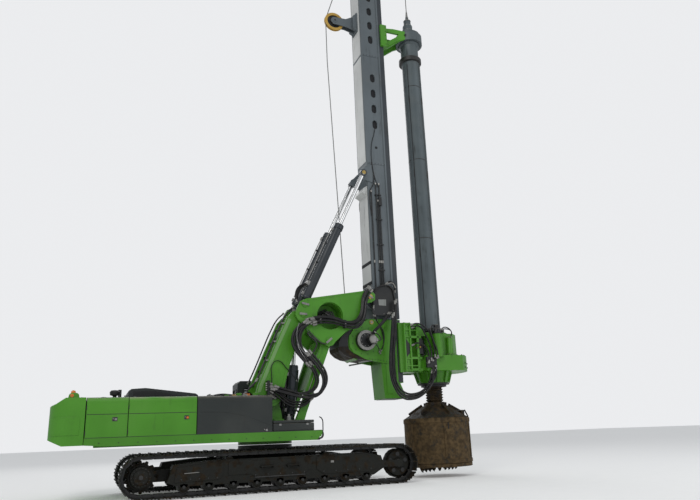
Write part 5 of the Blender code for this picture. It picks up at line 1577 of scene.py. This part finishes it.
    def hoses(self):
        bm = bmesh.new()
        places = ((4.73, 3.19), (4.86, 3.26), (4.58, 3.13), (4.81, 3.03))
        box(bm, (4.56, 4.88), (-0.78, -0.70), (3.00, 3.30), 2)
        for x, z in places:
            bar(bm, (x, -0.76, z), (x, -0.83, z), 0.034, 6, 1)
            bar(bm, (x, -0.82, z), (x, -0.85, z), 0.026, 12, 1)
        arcs = (
            [(4.19, -0.66, 4.23), (4.28, -0.74, 4.26), (4.41, -0.80, 4.24), (4.63, -0.80, 4.09),
             (4.76, -0.80, 3.86), (4.81, -0.81, 3.60), (4.82, -0.81, 3.30)],
            [(4.24, -0.62, 4.16), (4.34, -0.72, 4.20), (4.46, -0.745, 4.15), (4.57, -0.745, 3.97),
             (4.67, -0.75, 3.76), (4.73, -0.76, 3.50), (4.70, -0.80, 3.20)],
            [(4.21, -0.62, 3.65), (4.30, -0.69, 3.70), (4.42, -0.70, 3.69), (4.57, -0.71, 3.60),
             (4.65, -0.74, 3.42), (4.62, -0.79, 3.14)],
            [(4.98, -0.74, 4.14), (4.86, -0.80, 4.22), (4.72, -0.84, 4.12), (4.76, -0.86, 3.8),
             (4.86, -0.86, 3.5), (4.90, -0.84, 3.28)],
        )
        for route in arcs:
            hose(bm, route, 0.023)
        for k in range(3):
            x = 4.72 + 0.05 * k
            hose(bm, [(x, -0.74, 3.04), (x + 0.01, -0.80, 2.94), (x - 0.01, -0.78, 2.76),
                      (x - 0.03, -0.62, 2.60), (x + 0.02, -0.48, 2.58)], 0.018)
        for k in range(2):
            hose(bm, [(5.06 + 0.06 * k, -0.82, 4.10), (5.20, -0.86, 4.16 - 0.05 * k),
                      (5.40, -0.84, 4.05), (5.46, -0.72, 3.94 - 0.04 * k)], 0.016)
        piece("rotary_hoses", bm, "rubber silver black", "rotary", bevel=0.003)
        bm = bmesh.new()
        outer = [(3.73, 4.94), (3.69, 4.47), (3.64, 3.90), (3.57, 3.39), (3.56, 2.89),
                 (3.62, 2.52), (3.85, 2.30), (4.13, 2.27), (4.45, 2.39), (4.67, 2.64), (4.79, 2.96)]
        inner = [(3.60, 4.53), (3.52, 3.89), (3.44, 3.26), (3.44, 2.84), (3.54, 2.49),
                 (3.76, 2.22), (4.06, 2.17), (4.42, 2.30), (4.68, 2.55), (4.84, 2.96)]
        for route, shift in ((outer, 0.0), (outer, 0.05), (inner, 0.0), (inner, 0.05)):
            y = -0.70 if route is outer else -0.76
            points = [(x - shift, y - shift * 0.3, z - shift) for x, z in route]
            hose(bm, points, 0.027)
        piece("rotary_loop", bm, "rubber silver", ("mast", "rotary"),
              turn=((3.62, -0.72, 2.52), (4.67, -0.72, 2.60)))


class RIG_OT_kelly(RigPiece, bpy.types.Operator):
    """Guide, telescopic bar, drilling bucket and its flap"""

    bl_idname = "rig.kelly"
    bl_label = "Kelly bar and bucket"

    def build(self):
        bm = shape_of("kelly_guide")
        axis = Vector((5.15, 0.0, 0.0))
        turned(bm, [(0.405, 0.0), (0.45, 0.0), (0.45, 0.014), (0.405, 0.014)],
               axis + Vector((0, 0, 14.52)), "Z", 40, 1)
        bolts(bm, ring_of(axis + Vector((0, 0, 14.53)), 0.43, 12, "Z"), (0, 0, 1), 0.012, 0.012, 1)
        for side in SIDES:
            box(bm, (3.845, 3.93), span(side, 0.419, 0.43), (13.72, 13.92), 2)
            box(bm, (3.845, 3.93), span(side, 0.419, 0.43), (14.22, 14.42), 2)
            bolts(bm, row((4.02, side * 0.50, 13.74), (4.02, side * 0.50, 14.40), 5), (0, side, 0),
                  0.014, 0.012, 1)
            bar(bm, (4.86, side * 0.30, 14.37), (4.86, side * 0.37, 14.37), 0.05, 20, 1)
            plate(bm, [(4.10, 13.74), (4.62, 14.13), (4.60, 14.16), (4.08, 13.77)],
                  span(side, 0.335, 0.365))
        for face in bm.faces:
            out = face.calc_center_median() - axis
            if out.to_2d().length < 0.47 and 14.0 < out.z < 14.515 and not face.material_index:
                face.material_index = 3
        piece("guide", bm, "green_work dark_steel brass kelly", "kelly_guide", ("kelly_guide",),
              0.008)

        bm = shape_of("kelly_swivel")
        for z, r in ((15.02, 0.15), (14.80, 0.19), (15.22, 0.13)):
            turned(bm, [(r - 0.04, -0.012), (r, -0.012), (r, 0.012), (r - 0.04, 0.012)],
                   axis + Vector((0, 0, z)), "Z", 28, 1)
        bolts(bm, ring_of(axis + Vector((0, 0, 14.81)), 0.195, 8, "Z"), (0, 0, 1), 0.013, 0.018, 1)
        bar(bm, axis + Vector((0, 0, 15.38)), axis + Vector((0, 0, 15.62)), 0.045, 16, 1, 0.024)
        bar(bm, (5.15, -0.085, 15.33), (5.15, 0.085, 15.33), 0.022, 12, 1)
        piece("swivel", bm, "kelly silver", "kelly_guide", ("kelly_swivel",), 0.004)

        bm = shape_of("kelly_outer")
        for z in (12.0, 9.3, 6.6):
            for i in range(3):
                a = tau * i / 3 + radians(90)
                x, y = 5.15 + 0.301 * cos(a), 0.301 * sin(a)
                box(bm, (x - 0.025, x + 0.025), (y - 0.037, y + 0.037), (z - 0.13, z + 0.13), 1,
                    Matrix.Rotation(a, 4, "Z"))
            turned(bm, [(0.27, -0.014), (0.289, -0.014), (0.289, 0.014), (0.27, 0.014)],
                   axis + Vector((0, 0, z + 0.5)), "Z", 40, 1)
        for i in range(3):
            a = tau * i / 3 + radians(90)
            x, y = 5.15 + 0.279 * cos(a), 0.279 * sin(a)
            box(bm, (x - 0.012, x + 0.012), (y - 0.056, y + 0.056), (2.66, 13.36), 1,
                Matrix.Rotation(a, 4, "Z"))
        turned(bm, [(0.29, 13.45), (0.385, 13.47), (0.385, 13.61), (0.30, 13.67)], axis, "Z", 48, 1)
        bolts(bm, ring_of(axis + Vector((0, 0, 14.61)), 0.36, 12, "Z"), (0, 0, 1), 0.014, 0.016, 1)
        bolts(bm, ring_of(axis + Vector((0, 0, 13.505)), 0.32, 16, "Z"), (0, 0, 1), 0.010, 0.010, 1)
        piece("outer_bar", bm, "kelly dark_steel", "kelly", ("kelly_outer",), 0.005)
        skin("kelly_inner", "head", 0.004)
        self.bucket()

    def bucket(self):
        bm = shape_of("bucket")
        axis = Vector((5.15, 0.0, 0.0))
        for low_z, high_z, out in ((1.47, 1.585, 0.014), (0.375, 0.47, 0.016)):
            turned(bm, [(0.935, low_z), (0.95 + out, low_z), (0.95 + out, high_z),
                        (0.935, high_z)], axis, "Z", 64, 0)
        for i in range(6):
            a = tau * (i + 0.25) / 6
            x, y = 5.15 + 0.955 * cos(a), 0.955 * sin(a)
            box(bm, (x - 0.015, x + 0.015), (y - 0.035, y + 0.035), (0.52, 1.44), 0,
                Matrix.Rotation(a, 4, "Z"))
            a = tau * (i + 0.5) / 6
            x, y = 5.15 + 0.56 * cos(a), 0.56 * sin(a)
            box(bm, (x - 0.24, x + 0.24), (y - 0.013, y + 0.013), (1.72, 1.90), 1,
                Matrix.Rotation(a, 4, "Z") @ Matrix.Rotation(radians(32), 4, "Y"))
        box(bm, (4.90, 5.40), (-0.25, 0.25), (1.78, 2.045), 1)
        bar(bm, (5.15, -0.34, 1.90), (5.15, 0.34, 1.90), 0.04, 20, 2)
        for side in SIDES:
            bar(bm, (5.15, side * 0.245, 1.90), (5.15, side * 0.27, 1.90), 0.075, 24, 1)
        bar(bm, (5.52, -0.30, 1.80), (5.86, -0.50, 1.78), 0.022, 12, 2)
        bar(bm, (5.84, -0.49, 1.80), (6.02, -0.36, 1.62), 0.020, 12, 2)
        box(bm, (5.74, 5.84), (-0.48, -0.36), (1.62, 1.78), 1)
        for side in SIDES:
            for y in (0.24, 0.40):
                bar(bm, (4.185, side * (y - 0.035), 0.395), (4.185, side * (y + 0.035), 0.395),
                    0.026, 16, 1)
        # A narrow near-black strip on the wall: painted shade of a slot.
        box(bm, (4.985, 5.015), (-0.948, -0.92), (1.29, 1.46), 3)
        for face in bm.faces:
            if face.calc_center_median().z > 1.60 and not face.material_index:
                face.material_index = 1
        piece("bucket_body", bm, "bucket head dark_steel hollow", "kelly_bar", ("bucket",), 0.006)

        bm = shape_of("bucket_flap")
        for turn in (0.0, pi):
            for k, r in enumerate((0.26, 0.44, 0.62, 0.80)):
                a = turn + 0.35 + 0.02 * k
                x, y = 5.15 + r * cos(a), r * sin(a)
                tilt = Matrix.Rotation(a, 4, "Z") @ Matrix.Rotation(0.55, 4, "X")
                box(bm, (x - 0.045, x + 0.045), (y - 0.035, y + 0.035), (0.175, 0.29), 1, tilt)
                tip = Matrix.Translation((x, y, 0.19)) @ tilt @ Matrix.Translation((0, 0, -0.03))
                made = bmesh.ops.create_cone(bm, cap_ends=True, segments=4, radius1=0.012,
                                             radius2=0.045, depth=0.06, matrix=tip)
                tag(made["verts"], 2)
            box(bm, (5.15 + 0.5 * cos(turn + 0.5) - 0.40, 5.15 + 0.5 * cos(turn + 0.5) + 0.40),
                (0.5 * sin(turn + 0.5) - 0.02, 0.5 * sin(turn + 0.5) + 0.02), (0.24, 0.275), 0,
                Matrix.Rotation(turn + 0.5, 4, "Z"))
        made = bmesh.ops.create_cone(bm, cap_ends=True, segments=16, radius1=0.02, radius2=0.09,
                                     depth=0.14, matrix=Matrix.Translation((5.15, 0, 0.205)))
        tag(made["verts"], 1)
        piece("flap", bm, "bucket head dark_steel", "bucket_flap", ("bucket_flap",), 0.005)


class RIG_OT_lines(RigPiece, bpy.types.Operator):
    """Hose bundles between the bodies, and the ropes"""

    bl_idname = "rig.lines"
    bl_label = "Hoses and ropes"

    def build(self):
        self.mast_bundle()
        self.boom_bundle()
        self.house_bundle()
        self.ropes()

    def strands(self, bm, route, shifts, radius=0.024, ends=1):
        for dx, dy, dz in shifts:
            hose(bm, [(x + dx, y + dy, z + dz) for x, y, z in route], radius, ends)

    def mast_bundle(self):
        bm = bmesh.new()
        route = [(2.92, -0.68, 5.24), (2.80, -0.72, 5.10), (2.70, -0.76, 4.92), (2.65, -0.79, 4.70),
                 (2.61, -0.81, 4.50), (2.53, -0.82, 4.34), (2.42, -0.83, 4.23), (2.24, -0.83, 4.18),
                 (2.04, -0.83, 4.20), (1.84, -0.82, 4.26), (1.64, -0.82, 4.30), (1.44, -0.82, 4.31),
                 (1.26, -0.82, 4.29), (1.10, -0.82, 4.24)]
        self.strands(bm, route, ((0, 0, 0), (0.03, -0.045, -0.055), (-0.05, 0.0, 0.055),
                                 (0.05, 0.005, -0.11), (-0.04, -0.05, 0.03)), 0.029)
        piece("mast_bundle", bm, "rubber silver", ("mast", "triangle"),
              turn=((2.70, -0.8, 4.70), (2.20, -0.8, 4.22)))
        bm = bmesh.new()
        for x, dx in ((1.10, 0.0), (1.02, -0.06)):
            for k in range(3):
                z = 4.24 + 0.055 * (1 - k)
                bar(bm, (x + 0.04 + dx, -0.82, z), (x - 0.05 + dx, -0.82, z - 0.04), 0.031, 12, 1)
        box(bm, (1.30, 1.36), (-0.87, -0.73), (4.17, 4.38), 0)
        box(bm, (2.02, 2.07), (-0.89, -0.73), (4.06, 4.28), 0)
        bolts(bm, [(1.33, -0.87, 4.28), (2.045, -0.89, 4.17)], (0, -1, 0), 0.016, 0.012, 1)
        piece("bundle_clamps", bm, "black silver", "triangle", bevel=0.004)

    def boom_bundle(self):
        bm = bmesh.new()
        inner = [(1.04, -0.82, 4.21), (0.94, -0.815, 4.14), (0.83, -0.81, 4.03), (0.75, -0.81, 3.90),
                 (0.715, -0.81, 3.74), (0.735, -0.805, 3.56), (0.81, -0.80, 3.40),
                 (0.92, -0.79, 3.24), (1.05, -0.78, 3.08)]
        outer = [(0.92, -0.82, 4.22), (0.77, -0.815, 4.12), (0.64, -0.81, 4.00), (0.56, -0.81, 3.86),
                 (0.53, -0.81, 3.69), (0.56, -0.81, 3.54), (0.63, -0.80, 3.42), (0.78, -0.79, 3.25),
                 (0.97, -0.78, 3.05)]
        self.strands(bm, inner, ((0, 0, 0), (0.055, 0.03, 0.01), (-0.055, 0.03, -0.02)), 0.030)
        self.strands(bm, outer, ((0, 0, 0), (0.06, 0.035, -0.015)), 0.032)
        wire = [(0.72, -0.86, 4.16), (0.68, -0.86, 4.05), (0.65, -0.86, 3.85), (0.68, -0.86, 3.62),
                (0.78, -0.85, 3.45), (0.93, -0.84, 3.30)]
        tube(bm, wire, 0.008, slot=2)
        piece("boom_bundle", bm, "rubber silver grey", ("triangle", "boom"),
              turn=((0.75, -0.8, 4.05), (0.75, -0.8, 3.40)))

    def house_bundle(self):
        bm = bmesh.new()
        outer = [(0.97, -0.80, 3.36), (1.14, -0.80, 3.18), (1.30, -0.80, 2.99), (1.41, -0.80, 2.80),
                 (1.44, -0.80, 2.62), (1.38, -0.80, 2.42), (1.25, -0.80, 2.28), (1.08, -0.80, 2.22),
                 (0.77, -0.80, 2.24), (0.42, -0.79, 2.33), (0.04, -0.76, 2.44)]
        inner = [(0.90, -0.76, 3.24), (1.04, -0.76, 3.08), (1.17, -0.76, 2.92), (1.25, -0.76, 2.74),
                 (1.24, -0.76, 2.56), (1.14, -0.76, 2.41), (0.97, -0.76, 2.33), (0.78, -0.76, 2.31),
                 (0.43, -0.75, 2.37), (0.04, -0.72, 2.48)]
        self.strands(bm, outer, ((0, 0, 0), (0.045, 0.0, 0.06), (-0.06, -0.01, -0.01)), 0.031)
        self.strands(bm, inner, ((0, 0, 0), (-0.065, 0.01, 0.01)), 0.028)
        piece("house_bundle", bm, "rubber silver", ("boom", "house"),
              turn=((1.12, -0.8, 3.04), (1.22, -0.8, 2.34)))
        bm = bmesh.new()
        sag = [(1.12, -0.70, 2.25), (1.00, -0.67, 2.13), (0.86, -0.665, 2.06), (0.70, -0.665, 2.04),
               (0.56, -0.665, 2.07), (0.42, -0.675, 2.13), (0.27, -0.71, 2.24), (0.10, -0.73, 2.36),
               (0.0, -0.72, 2.44)]
        self.strands(bm, sag, ((0, 0, 0), (0.0, 0.0, 0.062), (-0.03, 0.0, -0.062)), 0.027)
        for k in range(4):
            z = 2.40 + 0.055 * k
            bar(bm, (0.02, -0.70, z), (-0.06, -0.69, z + 0.02), 0.034, 6, 1)
            bar(bm, (-0.06, -0.69, z + 0.02), (-0.15, -0.66, z + 0.02), 0.024, 12, 1)
        box(bm, (-0.12, -0.06), (-0.75, -0.60), (2.20, 2.66), 2)
        piece("lower_bundle", bm, "rubber silver black", "house", bevel=0.003)
        bm = bmesh.new()
        for k, y in enumerate((-0.53, -0.49, -0.45)):
            hose(bm, [(-0.352, y, 2.69), (-0.40, y, 2.62), (-0.47 - 0.01 * k, y, 2.54),
                      (-0.55, y - 0.01, 2.47), (-0.62, y - 0.02, 2.40 - 0.01 * k),
                      (-0.66, y - 0.03, 2.31)], 0.020)
        piece("foot_loops", bm, "rubber silver", ("boom", "house"),
              turn=((-0.37, -0.5, 2.67), (-0.60, -0.5, 2.42)))

    def ropes(self):
        radius = sizes().rope_radius
        rear = pin("rear_sheave")
        back, front = pin("crown_sheave_rear"), pin("crown_sheave_front")
        groove = (high("rear_sheave").z - low("rear_sheave").z) / 2 - 0.055 + radius
        crown = (high("crown_sheave_rear").z - low("crown_sheave_rear").z) / 2 - 0.055 + radius
        lead = [(2.455, 3.78), (2.40, 5.2), (2.30, 7.7), (2.18, 10.6), (2.08, 13.0)]
        lead += arc((rear.x, rear.z), groove, 178, 164, 3)
        lead += arc((back.x, back.z), crown, 164, 96, 7)
        lead += arc((front.x, front.z), crown, 92, 2, 8)
        lead += [(front.x + crown, 16.98)]
        bm = bmesh.new()
        tube(bm, [(x, 0.0, z) for x, z in lead], radius, 8, 1)
        piece("winch_rope", bm, "rope", "mast")
        bm = bmesh.new()
        drop = [(front.x + crown, 0.0, 17.0), (5.16, 0.0, 16.8), (5.15, 0.0, 16.2),
                (5.15, 0.0, 15.6)]
        tube(bm, drop, radius, 8, 4)
        piece("kelly_rope", bm, "rope", ("mast", "kelly_guide"),
              turn=((5.15, 0.0, 16.9), (5.15, 0.0, 15.7)))


class RIG_OT_cab(RigPiece, bpy.types.Operator):
    """Cab shell, panes, door, seat and controls"""

    bl_idname = "rig.cab"
    bl_label = "Cab"

    def build(self):
        y0, y1 = 0.80, 1.48
        bm = shape_of("cab_shell")
        openings = [
            [(1.06, y, 1.78) if z == 0 else (0.815, y, 2.60) for y, z in
             ((y0 + 0.07, 0), (y1 - 0.07, 0), (y1 - 0.07, 1), (y0 + 0.07, 1))],
            [(1.062, y, z) for y, z in ((y0 + 0.1, 1.34), (y1 - 0.1, 1.34), (y1 - 0.1, 1.66),
                                        (y0 + 0.1, 1.66))],
            [(-0.582, y, z) for y, z in ((y0 + 0.1, 1.90), (y1 - 0.1, 1.90), (y1 - 0.1, 2.56),
                                         (y0 + 0.1, 2.56))],
            [(x, y, 2.78) for x, y in ((-0.1, y0 + 0.12), (0.44, y0 + 0.12), (0.44, y1 - 0.12),
                                       (-0.1, y1 - 0.12))],
            [(x, y0 - 0.002, z) for x, z in ((-0.4, 1.8), (0.78, 1.8), (0.62, 2.58), (-0.4, 2.58))],
        ]
        for loop in openings:
            tube(bm, loop, 0.012, 8, 1, 1, True)
        for y in (y0 + 0.10, y1 - 0.10):
            bar(bm, (0.66, y, 2.78), (0.66, y, 2.83), 0.02, 10, 1)
            box(bm, (0.62, 0.72), (y - 0.06, y + 0.06), (2.82, 2.90), 1)
            box(bm, (0.718, 0.726), (y - 0.05, y + 0.05), (2.83, 2.89), 2)
        bar(bm, (0.98, y1 - 0.02, 1.30), (0.98, y1 + 0.06, 1.34), 0.012, 10, 1)
        bar(bm, (0.98, y1 + 0.06, 1.34), (0.88, y1 + 0.06, 2.34), 0.012, 10, 1)
        bar(bm, (0.88, y1 + 0.06, 2.34), (0.86, y1 - 0.02, 2.38), 0.012, 10, 1)
        box(bm, (0.89, 0.93), (y1 + 0.015, y1 + 0.105), (2.00, 2.28), 1)
        box(bm, (0.886, 0.892), (y1 + 0.025, y1 + 0.095), (2.02, 2.26), 3)
        bar(bm, (1.066, 1.14, 1.76), (0.90, 1.02, 2.34), 0.009, 8, 1)
        bar(bm, (0.955, 1.00, 2.20), (0.875, 1.02, 2.46), 0.012, 8, 1)
        piece("cab_frame", bm, "dark rubber clear chrome", "house", ("cab_shell",), 0.010)

        bm = shape_of("cab_side_glass")
        plate(bm, [(1.035, 1.775), (1.025, 1.775), (0.800, 2.605), (0.810, 2.605)],
              (y0 + 0.065, y1 - 0.065))
        box(bm, (1.03, 1.038), (y0 + 0.095, y1 - 0.095), (1.335, 1.665))
        box(bm, (-0.565, -0.557), (y0 + 0.095, y1 - 0.095), (1.895, 2.565))
        box(bm, (-0.105, 0.445), (y0 + 0.115, y1 - 0.115), (2.757, 2.765))
        piece("cab_panes", bm, "glass", "house", ("cab_side_glass",))

        bm = shape_of("cab_door")
        tube(bm, [(x, y1, z) for x, z in ((-0.16, 1.72), (0.65, 1.72), (0.65, 1.82), (0.55, 2.52),
                                          (-0.16, 2.52))], 0.011, 8, 1, 1, True)
        box(bm, (0.56, 0.68), (y1 - 0.002, y1 + 0.018), (1.52, 1.60), 1)
        bar(bm, (-0.12, y1 + 0.022, 1.34), (-0.12, y1 + 0.022, 1.62), 0.010, 10, 1)
        for z in (1.35, 1.61):
            bar(bm, (-0.12, y1 - 0.002, z), (-0.12, y1 + 0.03, z), 0.010, 10, 1)
        piece("door_leaf", bm, "green rubber", "cab_door", ("cab_door",), 0.006)
        bm = bmesh.new()
        plate(bm, [(-0.168, 1.712), (0.658, 1.712), (0.658, 1.822), (0.558, 2.528),
                   (-0.168, 2.528)], (1.455, 1.463))
        piece("door_pane", bm, "glass", "cab_door")

        bm = bmesh.new()
        box(bm, (-0.22, 0.08), (0.98, 1.30), (1.22, 1.56))
        box(bm, (-0.25, 0.23), (0.93, 1.35), (1.555, 1.595))
        lean = Matrix.Rotation(atan2(-0.13, 0.62), 4, "Y")
        box(bm, (-0.315, -0.285), (0.95, 1.33), (1.62, 2.28), 0, lean)
        pad(bm, (0.01, 1.14, 1.645), (0.46, 0.43, 0.115), Matrix(), 1)
        pad(bm, (-0.235, 1.14, 1.97), (0.60, 0.41, 0.10),
            lean @ Matrix.Rotation(radians(90), 4, "Y") @ Matrix.Scale(-1, 4, (1, 0, 0)), 1)
        bmesh.ops.recalc_face_normals(bm, faces=bm.faces[:])
        piece("seat_pads", bm, "black cloth", "house", ("seat",), angle=50)
        bm = bmesh.new()
        for y in (0.90, 1.38):
            box(bm, (-0.12, 0.34), (y - 0.035, y + 0.035), (1.66, 1.76))
            bar(bm, (0.28, y, 1.76), (0.28, y, 1.90), 0.012, 10)
            bar(bm, (0.28, y, 1.88), (0.275, y, 1.97), 0.024, 12)
        box(bm, (0.62, 0.70), (0.86, 1.06), (1.86, 2.04))
        box(bm, (0.614, 0.622), (0.875, 1.045), (1.88, 2.02), 1)
        bar(bm, (0.70, 0.96, 1.30), (0.67, 0.96, 1.88), 0.018, 12)
        for y in (1.06, 1.20):
            box(bm, (0.70, 0.84), (y - 0.04, y + 0.04), (1.30, 1.32), 0,
                Matrix.Rotation(-0.5, 4, "Y"))
            bar(bm, (0.80, y, 1.30), (0.72, y, 1.52), 0.010, 10)
        box(bm, (-0.50, -0.42), (0.90, 1.36), (1.30, 1.70))
        piece("cab_controls", bm, "black glass", "house", bevel=0.006)


# ---- stage ---------------------------------------------------------------------------------
CAMERA_FROM_SWING = Vector((-4.2845, -16.9356, 1.2371))
CAMERA_YAW = radians(22.193)
CAMERA_PITCH = radians(16.301)
CAMERA_ROLL = radians(-2.241)
CAMERA_LENS = 32.418


class RIG_OT_stage(RigPiece, bpy.types.Operator):
    """Sets up the floor, the soft studio light and the camera"""

    bl_idname = "rig.stage"
    bl_label = "Stage"

    def build(self):
        bm = bmesh.new()
        bmesh.ops.create_grid(bm, x_segments=1, y_segments=1, size=160.0)
        mesh = bpy.data.meshes.new("floor")
        bm.to_mesh(mesh)
        bm.free()
        floor = bpy.data.objects.new("floor", mesh)
        bpy.context.scene.collection.objects.link(floor)
        g = Graph("floor")
        grain = g.noise(0.4, 3.0)
        mesh.materials.append(g.finish(Base_Color=g.mix(grain, (0.80, 0.80, 0.79),
                                                        (0.84, 0.84, 0.83)), Roughness=0.9,
                                       Emission_Color=(1.0, 1.0, 1.0), Emission_Strength=0.13))

        world = bpy.data.worlds.new("studio")
        bpy.context.scene.world = world
        world.use_nodes = True
        tree = world.node_tree
        sky = tree.nodes["Background"]
        sky.inputs["Color"].default_value = (0.93, 0.96, 1.0, 1.0)
        sky.inputs["Strength"].default_value = 0.55
        pale = tree.nodes.new("ShaderNodeBackground")
        pale.inputs["Color"].default_value = (0.97, 0.98, 1.0, 1.0)
        pale.inputs["Strength"].default_value = 0.86
        choose = tree.nodes.new("ShaderNodeMixShader")
        seen = tree.nodes.new("ShaderNodeLightPath")
        tree.links.new(seen.outputs["Is Camera Ray"], choose.inputs[0])
        tree.links.new(sky.outputs[0], choose.inputs[1])
        tree.links.new(pale.outputs[0], choose.inputs[2])
        tree.links.new(choose.outputs[0], tree.nodes["World Output"].inputs["Surface"])
        self.lamp("key", (-14.0, -20.0, 22.0), (0.0, 0.0, 4.0), 12.0, 2500.0, (1.0, 0.98, 0.95))
        self.lamp("fill", (16.0, -14.0, 12.0), (2.0, 0.0, 5.0), 14.0, 700.0, (0.95, 0.97, 1.0))
        self.lamp("rim", (2.0, 22.0, 20.0), (0.0, 0.0, 6.0), 12.0, 1100.0, (1.0, 1.0, 1.0))

        camera = bpy.data.cameras.new("camera")
        camera.lens = CAMERA_LENS
        camera.sensor_width = 36.0
        camera.clip_end = 500.0
        view = bpy.data.objects.new("camera", camera)
        bpy.context.scene.collection.objects.link(view)
        ahead = Vector((sin(CAMERA_YAW) * cos(CAMERA_PITCH), cos(CAMERA_YAW) * cos(CAMERA_PITCH),
                        sin(CAMERA_PITCH)))
        level = Vector((cos(CAMERA_YAW), -sin(CAMERA_YAW), 0.0))
        up = level.cross(ahead)
        right = level * cos(CAMERA_ROLL) + up * sin(CAMERA_ROLL)
        top = up * cos(CAMERA_ROLL) - level * sin(CAMERA_ROLL)
        turn = Matrix((right, top, -ahead)).transposed().to_4x4()
        view.matrix_world = Matrix.Translation(CAMERA_FROM_SWING + SHIFT) @ turn
        bpy.context.scene.camera = view
        bpy.context.scene.view_settings.view_transform = "Standard"

    def lamp(self, name, place, target, size, power, colour):
        data = bpy.data.lights.new(name, "AREA")
        data.size = size
        data.energy = power
        data.color = colour
        lamp = bpy.data.objects.new(name, data)
        bpy.context.scene.collection.objects.link(lamp)
        lamp.location = place
        lamp.rotation_euler = (Vector(target) - Vector(place)).to_track_quat("-Z", "Y").to_euler()


PIECES = [RIG_OT_finishes, RIG_OT_tracks, RIG_OT_house,
          RIG_OT_linkage, RIG_OT_mast, RIG_OT_rotary, RIG_OT_kelly, RIG_OT_lines,
          RIG_OT_cab]


class RIG_PT_panel(bpy.types.Panel):
    """Lists the sizes, colours and pieces of the rig"""

    bl_idname = "RIG_PT_panel"
    bl_label = "Piling Rig"
    bl_space_type = "VIEW_3D"
    bl_region_type = "UI"
    bl_category = "Piling Rig"

    def draw(self, context):
        for group in (context.scene.rig_paint, context.scene.rig_sizes):
            for key in group.__annotations__:
                self.layout.prop(group, key)
        for operator in [*PIECES, RIG_OT_stage]:
            self.layout.operator(operator.bl_idname)


CLASSES = [RigPaint, RigSizes, *PIECES, RIG_OT_stage, RIG_PT_panel]


def register():
    for cls in CLASSES:
        bpy.utils.register_class(cls)
    bpy.types.Scene.rig_paint = PointerProperty(type=RigPaint)
    bpy.types.Scene.rig_sizes = PointerProperty(type=RigSizes)


def unregister():
    del bpy.types.Scene.rig_sizes
    del bpy.types.Scene.rig_paint
    for cls in reversed(CLASSES):
        bpy.utils.unregister_class(cls)


def main():
    register()
    for operator in [*PIECES, RIG_OT_stage]:
        group, name = operator.bl_idname.split(".")
        getattr(getattr(bpy.ops, group), name)()
    bpy.context.view_layer.update()


if __name__ == "__main__":
    main()
